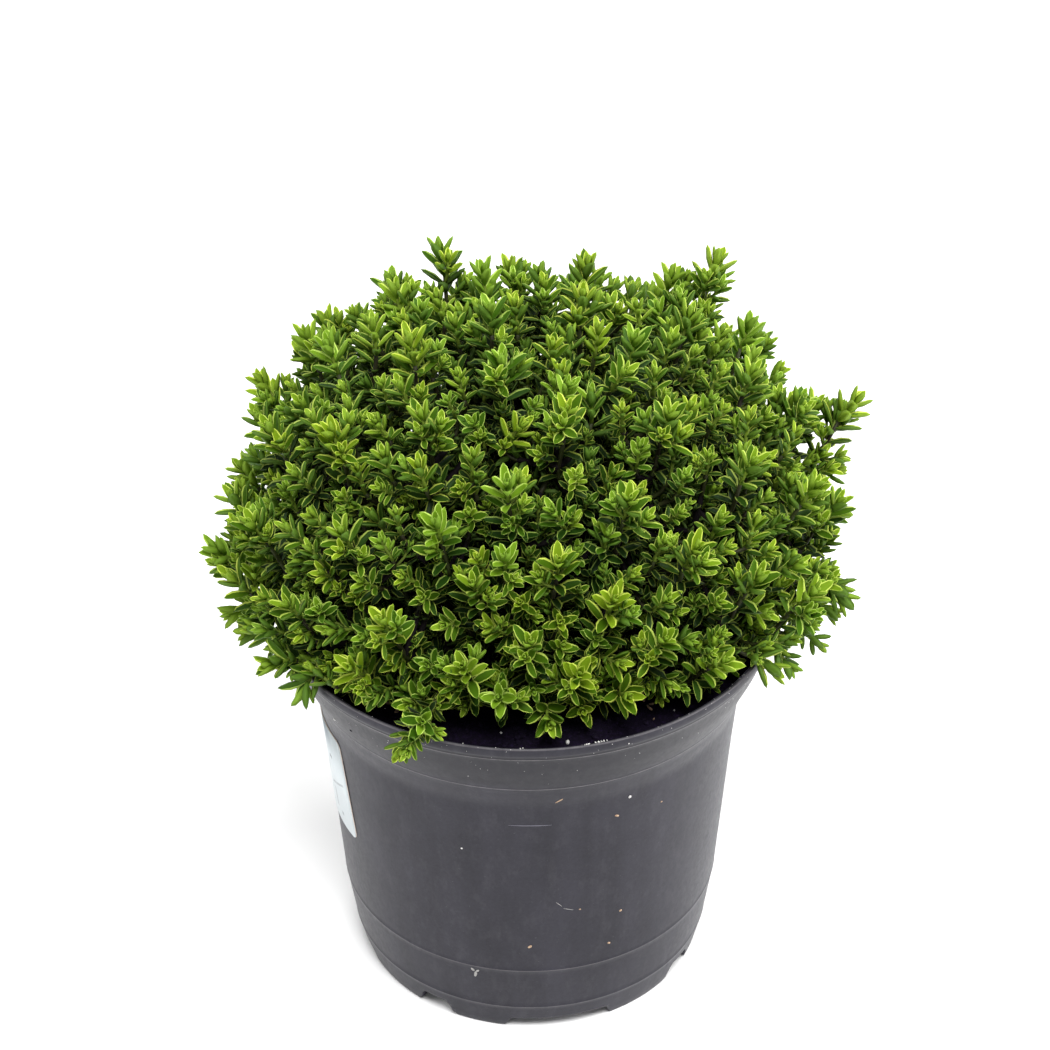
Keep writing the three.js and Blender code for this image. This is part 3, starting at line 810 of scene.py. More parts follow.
def cut_foot(bm):
    """Raises the drain channels and the foot recesses into the underside of the pot."""
    for vert in bm.verts:
        radius = math.hypot(vert.co.x, vert.co.y)
        if vert.co.z > DRAIN_CHANNEL["height"] + POT_FLOOR + 0.5 or radius < 1:
            continue
        azimuth = math.degrees(math.atan2(vert.co.y, vert.co.x))
        rise = max(recess_height(azimuth, radius, size) for size in (DRAIN_CHANNEL, FOOT_RECESS))
        outer = radius > pot_radius(vert.co.z) - POT_WALL / 2
        inner_face = not outer and vert.co.z > POT_FLOOR / 2
        target = rise + POT_FLOOR if inner_face else rise
        if vert.co.z >= target:
            continue
        vert.co.z = target
        if outer:
            factor = pot_radius(target) / radius
            vert.co.x *= factor
            vert.co.y *= factor


class HEBE_OT_pot(bpy.types.Operator):
    """Turns the pot with its moulded rings, rounded lip and the recesses under its foot."""

    bl_idname = "hebe.pot"
    bl_label = "Pot"

    def execute(self, context):
        settings = context.scene.hebe.pot
        rounding = settings.lip_rounding / MM
        proud = settings.rib_proud / MM
        lip_inner = LIP_RADIUS - LIP_WALL
        lip_inner_top = POT_HEIGHT - LIP_TOP_FALL
        underside = [(radius, 0) for radius in UNDERSIDE_RADII]
        outside = arc((FOOT_RADIUS - FOOT_ROUNDING, FOOT_ROUNDING), FOOT_ROUNDING, -80, -10, 3)
        outside += rib_profile(1.0, 98.0, proud)
        outside += [(LIP_RADIUS - inset, height) for inset, height in LIP_FOOT]
        lip = arc((LIP_RADIUS - rounding, POT_HEIGHT - rounding), rounding, 0, 110)
        lip += arc((lip_inner + rounding, lip_inner_top - rounding), rounding, 70, 180)
        inside = [(lip_inner, 99.0), (lip_inner, LIP_INNER_START)]
        inside += [(r - POT_WALL, h) for r, h in reversed(POT_OUTLINE) if POT_FLOOR < h < 97]
        inside += [(pot_radius(h) - POT_WALL, h) for h in LOW_WALL_HEIGHTS]
        floor = [(radius, POT_FLOOR) for radius in (pot_radius(0) - POT_WALL, *FLOOR_RADII)]
        bm = spun(underside + outside + lip + inside + floor, POT_STEPS)
        cut_foot(bm)
        mesh = closed_mesh(bm, "pot_shell")
        for face in mesh.polygons:
            height = face.center.z / MM
            reach = math.hypot(face.center.x, face.center.y) / MM
            beside_compost = POT_FLOOR < height < lip_inner_top - LIP_BARE_DEPTH
            face.material_index = int(beside_compost and reach < pot_radius(height) - POT_WALL / 2)
        finishes = [pot_plastic(settings), inner_wall_finish(settings)]
        add_piece("pot_shell", mesh, finishes, "pot_plastic", ["pot"])
        return {"FINISHED"}


def soil_surface(x, y):
    """The compost's height at a place: slightly domed and lumpy."""
    radius = math.hypot(x, y)
    edge = pot_radius(SOIL_HEIGHT)
    rise = SOIL_HEIGHT - SOIL_EDGE_DROP * min(1.0, radius / edge) ** 1.5
    lumps = noise.fractal(Vector((x, y, 3.0)) * 0.16, 0.9, 2.1, 5)
    return rise + SOIL_LUMPS * lumps


def grain_template():
    """The corners and faces of a plain twenty-sided ball."""
    bm = bmesh.new()
    bmesh.ops.create_icosphere(bm, subdivisions=1, radius=1)
    corners = np.array([vert.co for vert in bm.verts])
    faces = [tuple(vert.index for vert in face.verts) for face in bm.faces]
    bm.free()
    return corners, faces


def random_turns(draw, count):
    """Random rotations, one 3 by 3 matrix each."""
    axes, _ = np.linalg.qr(draw.normal(size=(count, 3, 3)))
    axes[:, :, 0] *= np.sign(np.linalg.det(axes))[:, None]
    return axes


def scattered_grains(name, places, sizes, draw, finish):
    """Irregular grains joined in one piece. Sizes are three half axes each."""
    ball, faces = grain_template()
    lumpy = ball[None] * draw.uniform(0.72, 1.2, size=(len(places), len(ball), 1))
    corners = np.einsum("nij,nvj->nvi", random_turns(draw, len(places)), lumpy * sizes[:, None, :])
    corners = corners + places[:, None, :]
    mesh = joined_copies(name, corners, faces, np.zeros(len(faces)), smooth=False)
    add_piece(name, mesh, [finish], "compost")


def soil_places(draw, count, inner, inset, sunk):
    """Points on the compost from a least radius up to an inset from its edge, sunk into it so far."""
    outer = pot_radius(SOIL_HEIGHT - SOIL_EDGE_DROP) - POT_WALL - inset
    radii = np.sqrt(draw.uniform(inner**2, outer**2, count))
    angles = draw.uniform(0, math.tau, count)
    flat = np.stack([radii * np.cos(angles), radii * np.sin(angles)], axis=1)
    heights = np.array([soil_surface(x, y) for x, y in flat]) - sunk
    return np.column_stack([flat, heights])


class HEBE_OT_compost(bpy.types.Operator):
    """Fills the pot with lumpy compost, its crumbs, white grains and tan chips."""

    bl_idname = "hebe.compost"
    bl_label = "Compost"

    def execute(self, context):
        settings = context.scene.hebe.pot
        bed = SOIL_LOW.z
        edge_height = SOIL_HEIGHT - SOIL_EDGE_DROP
        heights = (bed, 22.1, 64, 77, 84, edge_height)
        wall = [(pot_radius(h) - POT_WALL - SOIL_GAP, h) for h in heights]
        top = [(r, edge_height) for r in np.linspace(wall[-1][0] - 0.5, 0, 44)]
        bm = spun([(0, bed)] + wall + top, 180)
        for vert in bm.verts:
            if vert.co.z > edge_height - 0.01:
                vert.co.z = soil_surface(vert.co.x, vert.co.y)
        compost = compost_finish(settings)
        add_piece("compost", closed_mesh(bm, "compost"), [compost], "compost", ["soil"])
        draw = np.random.default_rng(SOIL_SEED)
        places, count = soil_places(draw, *CRUMBS), CRUMBS[0]
        sizes = draw.uniform(0.35, 1.0, (count, 1)) ** 1.6 * draw.uniform(0.8, 1.5, (count, 3))
        scattered_grains("compost_crumbs", places, sizes, draw, compost)
        places, count = soil_places(draw, *PERLITE), PERLITE[0]
        sizes = draw.uniform(0.25, 0.62, (count, 1)) * draw.uniform(0.8, 1.2, (count, 3))
        scattered_grains("perlite_grains", places, sizes, draw, mineral_finish())
        places, count = soil_places(draw, *SPLINTERS), SPLINTERS[0]
        sizes = draw.uniform(0.6, 1.3, (count, 1)) * np.array([1.0, 0.34, 0.2])
        chips = chip_finish()
        scattered_grains("wood_chips", places, sizes, draw, chips)
        bm = bmesh.new()
        for x, y, length, width, turn in SOIL_CHIPS:
            chip = bmesh.ops.create_icosphere(bm, subdivisions=2, radius=1)["verts"]
            bmesh.ops.scale(bm, vec=(length / 2, width / 2, 0.35), verts=chip)
            for vert in chip:
                vert.co *= 1 + 0.3 * noise.noise(vert.co * 1.7 + Vector((x, y, 0)))
                vert.co.z += 0.12 * vert.co.x**2
            bmesh.ops.rotate(bm, matrix=Matrix.Rotation(math.radians(turn), 3, "Z"), verts=chip)
            bmesh.ops.translate(bm, vec=(x, y, soil_surface(x, y) + 0.5), verts=chip)
        add_piece("front_chips", closed_mesh(bm, "front_chips"), [chips], "compost")
        return {"FINISHED"}


class HEBE_OT_specks(bpy.types.Operator):
    """Puts the bits that stick to the wall, a moulding mark and fine white dust on the pot."""

    bl_idname = "hebe.specks"
    bl_label = "Specks"

    def execute(self, context):
        settings = context.scene.hebe.pot
        finishes = {
            "white": (mineral_finish(), "compost"),
            "grey": (mineral_finish("grey_grain", 0.5), "compost"),
            "tan": (chip_finish(), "compost"),
            "dark": (compost_finish(settings), "compost"),
            "moulded": (moulded_finish(settings), "pot_plastic"),
        }
        for kind, (finish, slot) in finishes.items():
            bm = bmesh.new()
            for *bit, own_kind in WALL_BITS:
                if own_kind == kind:
                    self.add_bit(bm, *bit)
            name = f"wall_bits_{kind}"
            add_piece(name, closed_mesh(bm, name), [finish], slot)
        draw = np.random.default_rng(DUST_SEED)
        places = np.array([self.dust_place(draw) for _ in range(DUST_COUNT)])
        sizes = draw.uniform(*DUST_SIZES, (DUST_COUNT, 1)) * draw.uniform(*DUST_SHAPES, (DUST_COUNT, 3))
        sizes[:: DUST_COUNT // LARGE_DUST_COUNT] *= LARGE_DUST_FACTOR
        for azimuth, share, size in LIP_CRUST:
            places = np.vstack([places, self.lip_place(math.radians(azimuth), share)])
            sizes = np.vstack([sizes, (size, size * 0.8, size * 0.6)])
        scattered_grains("lip_dust", places, sizes, draw, finishes["white"][0])
        return {"FINISHED"}

    def add_bit(self, bm, azimuth, height, length, width, turn):
        """A flat lozenge, laid out flat and then wrapped on the wall."""
        azimuth = math.radians(azimuth)
        lozenge = bmesh.ops.create_icosphere(bm, subdivisions=2, radius=1)["verts"]
        bmesh.ops.scale(bm, vec=(length / 2, width / 2, min(0.3, width / 3)), verts=lozenge)
        bmesh.ops.rotate(bm, matrix=Matrix.Rotation(math.radians(turn), 3, "Z"), verts=lozenge)
        for vert in lozenge:
            radius = pot_radius(height + vert.co.y) + vert.co.z
            angle = azimuth + vert.co.x / pot_radius(height)
            vert.co = round_axis(radius, angle, height + vert.co.y)

    def lip_place(self, angle, share):
        """A place on the lip's top, so far of the way in over it."""
        return round_axis(LIP_RADIUS - LIP_WALL * share, angle, POT_HEIGHT - LIP_TOP_FALL * share)

    def dust_place(self, draw):
        """A place on the lip's top, on its inner face or on the wall below it."""
        angle, where, share = draw.uniform(0, math.tau), draw.random(), draw.random()
        if where < 0.45:
            return self.lip_place(angle, share)
        if where < 0.6:
            height = LIP_INNER_START - 5 * share
            return round_axis(pot_radius(height) - LIP_WALL, angle, height)
        height = POT_HEIGHT - 0.5 - 14 * share**2
        return round_axis(pot_radius(height), angle, height)


class HEBE_OT_label(bpy.types.Operator):
    """Wraps the label's thin patch round the pot's wall."""

    bl_idname = "hebe.label"
    bl_label = "Label"

    def execute(self, context):
        settings = context.scene.hebe.pot
        half_width, half_height = LABEL["width"] / 2, (LABEL["top"] - LABEL["bottom"]) / 2
        bm = bmesh.new()
        uv_layer = bm.loops.layers.uv.new("label_map")
        bmesh.ops.create_grid(bm, x_segments=1, y_segments=1, size=1)
        bmesh.ops.scale(bm, vec=(half_width, half_height, 1), verts=bm.verts)
        bmesh.ops.bevel(
            bm,
            geom=list(bm.verts),
            offset=LABEL["corner"],
            offset_type="OFFSET",
            affect="VERTICES",
            segments=6,
            profile=0.5,
            material=-1,
        )
        for position in np.linspace(-half_width, half_width, LABEL_STRIPS + 1)[1:-1]:
            everything = bm.verts[:] + bm.edges[:] + bm.faces[:]
            bmesh.ops.bisect_plane(bm, geom=everything, plane_co=(position, 0, 0), plane_no=(1, 0, 0))
        for face in bm.faces:
            for loop in face.loops:
                flat = loop.vert.co
                loop[uv_layer].uv = (0.5 + flat.x / (2 * half_width), 0.5 + flat.y / (2 * half_height))
        thick = bmesh.ops.extrude_face_region(bm, geom=bm.faces[:])
        raised = [item for item in thick["geom"] if isinstance(item, bmesh.types.BMVert)]
        bmesh.ops.translate(bm, vec=(0, 0, LABEL["thickness"]), verts=raised)
        turn = Matrix.Rotation(math.radians(LABEL["turn"]), 3, "Z")
        bmesh.ops.rotate(bm, matrix=turn, verts=bm.verts)
        middle = math.radians(LABEL["azimuth"])
        mid_height = (LABEL["top"] + LABEL["bottom"]) / 2
        around = pot_radius(mid_height)
        for vert in bm.verts:
            height = mid_height + vert.co.y
            radius = pot_radius(height) + LABEL["gap"] + vert.co.z
            vert.co = round_axis(radius, middle + vert.co.x / around, height)
        bm.normal_update()
        for face in bm.faces:
            centre = face.calc_center_median()
            level = Vector((centre.x, centre.y, 0)).normalized()
            face.material_index = 0 if abs(face.normal.dot(level)) > 0.8 else 1
        mesh = closed_mesh(bm, "sticker")
        for polygon in mesh.polygons:
            polygon.use_smooth = polygon.material_index == 0
        finishes = [label_finish(settings), label_edge_finish()]
        add_piece("sticker", mesh, finishes, "label", ["pot_label"])
        return {"FINISHED"}


def seeded_random(seed):
    """The solids' own stream of random numbers from 0 to 1."""
    state = seed

    def draw():
        nonlocal state
        state = (state + 0x6D2B79F5) & MASK
        mixed = ((state ^ (state >> 15)) * (1 | state)) & MASK
        mixed = ((mixed + (mixed ^ (mixed >> 7)) * (61 | mixed)) & MASK) ^ mixed
        return ((mixed ^ (mixed >> 14)) & MASK) / 2**32

    return draw


def unit(vector):
    return vector / np.linalg.norm(vector)


def swung(first, second, angle):
    """A direction turned by an angle from a first one towards a second one, square to it."""
    return first * math.cos(angle) + second * math.sin(angle)


def crown_reach(direction):
    """How far the crown reaches from its centre in a direction."""
    front = CROWN_FRONT - FRONT_SKEW * direction[0]
    sides = (
        CROWN_LEFT if direction[0] < 0 else CROWN_RIGHT,
        front if direction[1] < 0 else CROWN_BACK,
        CROWN_HEIGHT,
    )
    total = sum((abs(part) / side) ** CROWN_FULLNESS for part, side in zip(direction, sides))
    return total ** (-1 / CROWN_FULLNESS)


def direction_at(azimuth, elevation):
    a, e = math.radians(azimuth), math.radians(elevation)
    return np.array([math.cos(a) * math.cos(e), math.sin(a) * math.cos(e), math.sin(e)])


def clear_of_pot(point, margin):
    """Whether a point of the plant is clear of the pot and the compost by a margin."""
    radius = math.hypot(point[0], point[1])
    if point[2] > POT_HEIGHT + margin or radius > LIP_RADIUS + margin:
        return True
    return point[2] > SOIL_HEIGHT + margin and radius < pot_radius(point[2]) - LIP_WALL - margin


class Mass:
    """One part of the crown: it owns the directions nearest to its own."""

    def __init__(self, ring, index):
        self.ring = ring["name"]
        self.suffix = f"{ring['name']}_{index + 1}" if ring["count"] > 1 else ring["name"]
        self.direction = direction_at(ring["azimuth"] + index * 360 / ring["count"], ring["elevation"])
        self.planes = []
        self.shoots = []
        self.bough_end = CROWN_CENTRE + self.direction * BOUGH_REACH + UP * BOUGH_RISE
        near = BOUGH_REACH + CORE_START
        far = crown_reach(self.direction) - CORE_DEPTH
        self.middle = CROWN_CENTRE + self.direction * (near + far) / 2
        self.middle[2] = max(self.middle[2], CORE_LOWEST + CORE_HALF_HEIGHT)


class Shoot:
    """A twig's path to its bud, and what its leaves are like."""

    def __init__(self, path, roll, age, vigour, side_tries=0, side_reach=SIDE_BACK[1]):
        self.path = path
        self.roll = roll
        self.age = age
        self.vigour = vigour
        self.side_tries = side_tries
        self.side_reach = side_reach


def make_masses():
    masses = [Mass(ring, index) for ring in MASS_RINGS for index in range(ring["count"])]
    for mass in masses:
        mass.planes = [unit(mass.direction - other.direction) for other in masses if other is not mass]
    return masses


def owner(masses, tip):
    offset = unit(tip - CROWN_CENTRE)
    return max(masses, key=lambda mass: mass.direction @ offset)


def drawn_in(mass, tip, inset):
    """A tip moved inwards from its mass's dividing planes."""
    point = tip.copy()
    for plane in mass.planes:
        depth = plane @ (point - CROWN_CENTRE)
        if depth < inset:
            point = point + plane * (inset - depth)
    return point


def shoot_ends(tip, lift):
    """A shoot's knee inside the dome, its end, and its bud: a low one droops over the lip."""
    outward = unit(np.array([tip[0], tip[1], 0.0]))
    radius = math.hypot(tip[0], tip[1])
    if tip[2] < POT_HEIGHT + HANG_RISE and radius > LIP_RADIUS:
        end = outward * max(radius - HANG_REACH, LIP_RADIUS + HANG_OUT)
        end[2] = POT_HEIGHT + HANG_RISE
        knee = end - outward * SHOOT_LENGTH + UP
    else:
        axis = unit(unit(tip - CROWN_CENTRE) + UP * lift)
        end = tip - axis * SOURCE_LEAF_REACH
        knee = end - axis * SHOOT_LENGTH
    bud = tip - unit(tip - end) * BUD_LENGTH
    return knee, end, bud


def raise_clear(points, margin):
    """Lifts a twig until no part of it touches the pot or the compost."""
    shares = (0.0, 0.2, 0.4, 0.6, 0.8, 1.0)
    for _ in range(RAISE_TRIES):
        spans = zip(points, points[1:])
        places = (low + (high - low) * share for low, high in spans for share in shares)
        if all(clear_of_pot(place, margin) for place in places):
            break
        points = [point + UP for point in points[:-1]] + [points[-1]]
        if not clear_of_pot(points[-1], margin):
            points[-1] = points[-1] + UP
    return points


def smooth_path(points, steps):
    """A smooth curve through a few points, as evenly spaced steps."""
    known = np.array([2 * points[0] - points[1], *points, 2 * points[-1] - points[-2]])
    fine = []
    for index in range(1, len(known) - 2):
        before, start, end, after = known[index - 1 : index + 3]
        square = 2 * before - 5 * start + 4 * end - after
        cube = 3 * start - before - 3 * end + after
        for t in np.linspace(0, 1, 12, endpoint=index == len(known) - 3):
            fine.append(0.5 * (2 * start + (end - before) * t + square * t**2 + cube * t**3))
    fine = np.array(fine)
    lengths = path_lengths(fine)
    wanted = np.linspace(0, lengths[-1], steps)
    return np.column_stack([np.interp(wanted, lengths, fine[:, axis]) for axis in range(3)])


def spiral_direction(index, count, lowest, turn=0):
    """One of so many directions spread evenly over the dome, down to a lowest height."""
    height = lowest + (1 - lowest) * (index + 0.5) / count
    angle = index * GOLDEN_ANGLE + turn
    return np.array(round_axis(math.sqrt(1 - height * height), angle, height))


def source_tips():
    """The tips that the solids' shoots reach: evenly over the dome, then the sprigs that stand out."""
    draw = seeded_random(CROWN_SEED)
    for index in range(SHOOT_COUNT):
        direction = spiral_direction(index, SHOOT_COUNT, SHOOT_LOWEST)
        change = 1 + REACH_CHANGE * (draw() - 0.5)
        tip = CROWN_CENTRE + direction * crown_reach(direction) * change
        yield keep_above(tip), draw() * math.pi, direction[2], False
    for tip in SPRIG_TIPS:
        yield np.array(tip, float), draw() * math.pi, 0.1, True


def keep_above(tip):
    """A tip over the pot, raised clear of the compost or the lip."""
    radius = math.hypot(tip[0], tip[1])
    if radius < LIP_RADIUS - INSIDE_MARGIN:
        tip[2] = max(tip[2], INSIDE_LOWEST)
    elif radius < LIP_RADIUS + OVER_LIP_MARGIN:
        tip[2] = max(tip[2], OVER_LIP_LOWEST)
    return tip


def upward_lift(height):
    """How far a shoot turns up towards the light, by the sine of its elevation."""
    share = min(1.0, max(0.0, height / LIFT_RISE))
    return LOW_LIFT + (HIGH_LIFT - LOW_LIFT) * share


def grow_main_shoots(masses):
    """The solids' own shoots, one from each mass's middle to every tip."""
    tips = []
    for tip, roll, height, stands_out in source_tips():
        mass = owner(masses, tip)
        knee, end, bud = shoot_ends(drawn_in(mass, tip, SHOOT_INSET), upward_lift(height))
        points = raise_clear([mass.middle, knee, end, bud], MAIN_CLEARANCE)
        path = smooth_path(points, PATH_STEPS)
        tips.append(bud)
        if tuple(tip) == HANGING_SPRIG:
            mass.shoots.append(Shoot(path, roll, 0, HANGING_VIGOUR))
            for place, axis, vigour in HANGING_TUFTS:
                place, axis = np.array(place), unit(np.array(axis))
                points = [path[-TUFT_STEP], place - axis * 4, place]
                mass.shoots.append(Shoot(smooth_path(points, SIDE_STEPS), roll, 0, vigour))
            continue
        tries, reach = (SPRIG_TRIES, SPRIG_REACH) if stands_out else (LEADER_TRIES, SIDE_BACK[1])
        mass.shoots.append(Shoot(path, roll, 0, LEADER_VIGOUR, tries, reach))
    return tips


def grow_fine_shoots(masses, tips):
    """Finer shoots that branch from the main ones and fill the dome between them, layer by layer."""
    draw = np.random.default_rng(FINE_SEED)
    main = [(mass, shoot) for mass in masses for shoot in mass.shoots]
    main_tips = np.array([shoot.path[-1] for _, shoot in main])
    taken = list(tips)
    for layer in FINE_LAYERS:
        for index in range(layer["count"]):
            even = spiral_direction(index, layer["count"], layer["lowest"], layer["age"])
            direction = unit(even + draw.normal(0, FINE_SCATTER, 3))
            to_face = direction * crown_reach(direction)
            tip = keep_above(CROWN_CENTRE + to_face * draw.uniform(*layer["reach"]))
            roll = draw.uniform(0, math.pi)
            vigour = draw.uniform(*FINE_VIGOUR)
            tilt = draw.normal(0, FINE_TILT, 3)
            branch_share = draw.uniform(*BRANCH_SHARES)
            if np.linalg.norm(np.array(taken) - tip, axis=1).min() < layer["spacing"]:
                continue
            mass, parent = main[int(np.argmin(np.linalg.norm(main_tips - tip, axis=1)))]
            lift = UP * (FINE_LIFT * upward_lift(even[2]))
            axis = unit(unit(tip - CROWN_CENTRE) + lift + tilt)
            bud = tip - axis * BUD_LENGTH
            knee = bud - axis * KNEE_BACK
            start = parent.path[int(branch_share * (len(parent.path) - 1))]
            length = np.linalg.norm(bud - start)
            if length < BRANCH_SHORTEST or np.dot(bud - start, axis) < BRANCH_FORWARD * length:
                start = parent.path[LOW_BRANCH_STEP]
            sag = (start + knee) / 2 - axis * BRANCH_SAG
            points = raise_clear([start, sag, knee, bud], FINE_CLEARANCE)
            if not clear_of_pot(points[-1], BUD_CLEARANCE):
                continue
            taken.append(points[-1])
            path = smooth_path(points, PATH_STEPS)
            mass.shoots.append(Shoot(path, roll, layer["age"], vigour, layer["side_tries"]))


def grow_side_shoots(masses):
    """Small side shoots below the buds, which make each spray a tuft."""
    draw = np.random.default_rng(FINE_SEED + 1)
    for mass in masses:
        for parent in list(mass.shoots):
            lengths = path_lengths(parent.path)
            for _ in range(parent.side_tries):
                chance, turn = draw.random(), draw.uniform(0, math.tau)
                back = draw.uniform(SIDE_BACK[0], parent.side_reach)
                length = draw.uniform(*SIDE_LENGTH)
                spread = math.radians(draw.uniform(*SIDE_SPREAD))
                size = draw.uniform(*SIDE_VIGOUR)
                if chance > SIDE_CHANCE:
                    continue
                start, axis = path_point(parent.path, lengths, back)
                outward = swung(*square_axes(axis), turn)
                leaving = swung(axis, outward, spread)
                turned = unit(leaving + UP * 0.5 + axis * 0.4)
                elbow = start + leaving * length * 0.5
                points = [start, elbow, start + (leaving + turned) * length * 0.5]
                if all(clear_of_pot(point, BUD_CLEARANCE) for point in points):
                    path, roll = smooth_path(points, SIDE_STEPS), draw.uniform(0, math.pi)
                    mass.shoots.append(Shoot(path, roll, parent.age, size * parent.vigour))


def path_lengths(path):
    """The distance along a path from its start to each of its points."""
    return np.concatenate([[0], np.cumsum(np.linalg.norm(np.diff(path, axis=0), axis=1))])


def square_axes(axis):
    """Two directions square to an axis and to each other."""
    helper = UP if abs(axis[2]) < 0.9 else np.array([1.0, 0.0, 0.0])
    sideways = unit(np.cross(axis, helper))
    return sideways, np.cross(axis, sideways)


def path_point(path, lengths, back):
    """A place on a path so far back from its end, and the direction towards its end."""
    wanted = max(lengths[-1] - back, 0.0)
    place = np.array([np.interp(wanted, lengths, path[:, axis]) for axis in range(3)])
    index = min(int(np.searchsorted(lengths, wanted, side="right")), len(path) - 1)
    return place, unit(path[index] - path[index - 1])


class LeafList:
    """The leaves of one ring of masses: where each one sits and how it is shaped."""

    def __init__(self):
        self.roots = []
        self.frames = []
        self.shapes = []
        self.ages = []
        self.tones = []

    def add(self, root, frame_axes, shape, age, tone):
        self.roots.append(root)
        self.frames.append(frame_axes)
        self.shapes.append(shape)
        self.ages.append(age)
        self.tones.append(tone)


def twig_radius(back):
    """A fine twig's radius so far back from its bud."""
    return BUD_TWIG_RADIUS + TWIG_THICKENING * min(1.0, back / THICKENING_LENGTH)


def dress_shoot(shoot, plant, draw, leaves):
    """Leaf pairs in turns of a quarter down a shoot, small and upright at the bud, wide below."""
    path = shoot.path
    lengths = path_lengths(path)
    tone = int(draw.choice(len(TONE_SHARES), p=TONE_SHARES))
    chance = BRIGHT_LEADER_CHANCE if shoot.vigour == LEADER_VIGOUR else BRIGHT_CHANCE
    bright = draw.random() < chance
    stretch = draw.uniform(*PAIR_STRETCH)
    for pair, back in enumerate(PAIR_PLACES):
        back = back * stretch * shoot.vigour**VIGOUR_POWER
        if back > lengths[-1] - BARE_ROOT or (shoot.age > 1 and pair == INNER_PAIRS):
            break
        place, axis = path_point(path, lengths, back)
        sideways, third = square_axes(axis)
        for half in (0, math.pi):
            turn = shoot.roll + half + pair * math.pi / 2 + draw.normal(0, TURN_SPREAD)
            outward = swung(sideways, third, turn)
            spread = math.radians(PAIR_SPREADS[pair] + draw.normal(0, ANGLE_SPREAD))
            along = swung(axis, outward, spread)
            face = axis * math.sin(spread) - outward * math.cos(spread)
            face = swung(face, np.cross(along, face), draw.normal(0, TWIST_SPREAD))
            across = np.cross(along, face)
            length = PAIR_LENGTHS[pair] * shoot.vigour * draw.uniform(*LENGTH_CHANGE)
            length = length * plant.leaf_length / MM
            root = place + outward * (twig_radius(back) - ROOT_SUNK)
            curl = PAIR_CURLS[pair] + draw.normal(0, CURL_SPREAD)
            tip = root + along * length
            middle = root + along * length * 0.55
            tip_clear = clear_of_pot(tip, LEAF_TIP_CLEARANCE)
            if not (tip_clear and clear_of_pot(middle, LEAF_MIDDLE_CLEARANCE)):
                continue
            # The age, and so the colour, deepens down the shoot and into the crown: partly ageing,
            # partly painted shade.
            age = shoot.age + PAIR_AGES[pair] - (1 if bright else 0)
            age = min(max(age, 0), len(AGES) - 1)
            width = (0.1 + 0.9 * PAIR_LENGTHS[pair]) * shoot.vigour * draw.uniform(*WIDTH_CHANGE)
            shape = (length, width * plant.leaf_width / MM / 2, curl)
            leaves.add(root, (along, across, face), shape, age, tone)


def tube_faces(steps, sides):
    """The faces of a tube of rings between a first and a last point, side by side."""
    faces = []
    last = 1 + sides * (steps - 1)
    for j in range(sides):
        following = (j + 1) % sides
        faces.append((0, 1 + following, 1 + j))
        for step in range(steps - 1):
            here = 1 + sides * step
            faces.append((here + j, here + following, here + sides + following, here + sides + j))
        faces.append((last + sides, last + j, last + following))
    return faces


def leaf_template(rows):
    """Where a leaf's points are, as shares along and across it and below its face, and its faces."""
    stations = [(0.0, 0.0, 0.5)]
    for row, _ in rows:
        for across in LEAF_TOP_STATIONS:
            stations.append((row, across, MARGIN_DROP if abs(across) == 1 else 0.0))
        stations.append((row, 0.0, 1.0))
    stations.append((1.0, 0.0, 0.4))
    kinds_round = (MARGIN, BLADE, BLADE, MARGIN, UNDERSIDE, UNDERSIDE)
    faces = tube_faces(len(rows), len(kinds_round))
    return np.array(stations), faces, np.repeat(kinds_round, len(rows) + 1)


def leaf_corners(leaves, chosen, rows, thickness):
    """The corners of the chosen leaves: each one curved along its length and cupped across it."""
    stations, _, _ = leaf_template(rows)
    share, side, below = stations.T
    known = np.array([(0.0, 0.0), *rows, (1.0, 0.0)])
    width_at = np.interp(share, known[:, 0], known[:, 1])
    roots = np.array(leaves.roots)[chosen]
    along, across, face = (np.array(leaves.frames)[chosen][:, i, None, :] for i in range(3))
    length, half_width, curl = (np.array(leaves.shapes)[chosen][:, i, None] for i in range(3))
    curl = np.where(np.abs(curl) < 0.02, 0.02, curl)
    angle = curl * share
    forward = length * np.sin(angle) / curl
    rise = length * (1 - np.cos(angle)) / curl
    lift = half_width * width_at * LEAF_CUP * side**2 - thickness * below * (0.35 + 0.65 * width_at)
    forward = forward - lift * np.sin(angle)
    rise = rise + lift * np.cos(angle)
    return (
        roots[:, None, :]
        + along * forward[..., None]
        + face * rise[..., None]
        + across * (half_width * width_at * side)[..., None]
    )


def blended(first, second, share):
    return tuple(a + (b - a) * share for a, b in zip(first, second))


def leaf_finishes(plant, age):
    """For each tone of spray: the blade, the margin and the underside of leaves of one age."""
    finishes = []
    for tone, factors in SPRAY_TONES.items():
        own = tinted(getattr(plant, age), factors)
        margin = blended(own, tinted(plant.margin, factors), MARGIN_SHARES[age])
        under = blended(own, linear(96, 122, 52), 0.35)
        finishes.append(leaf_finish(f"{age}_blade_{tone}", own, 0.46, 0.25))
        finishes.append(leaf_finish(f"{age}_margin_{tone}", margin, 0.46, 0.1))
        finishes.append(leaf_finish(f"{age}_underside_{tone}", under, 0.5, 0.1))
    return finishes


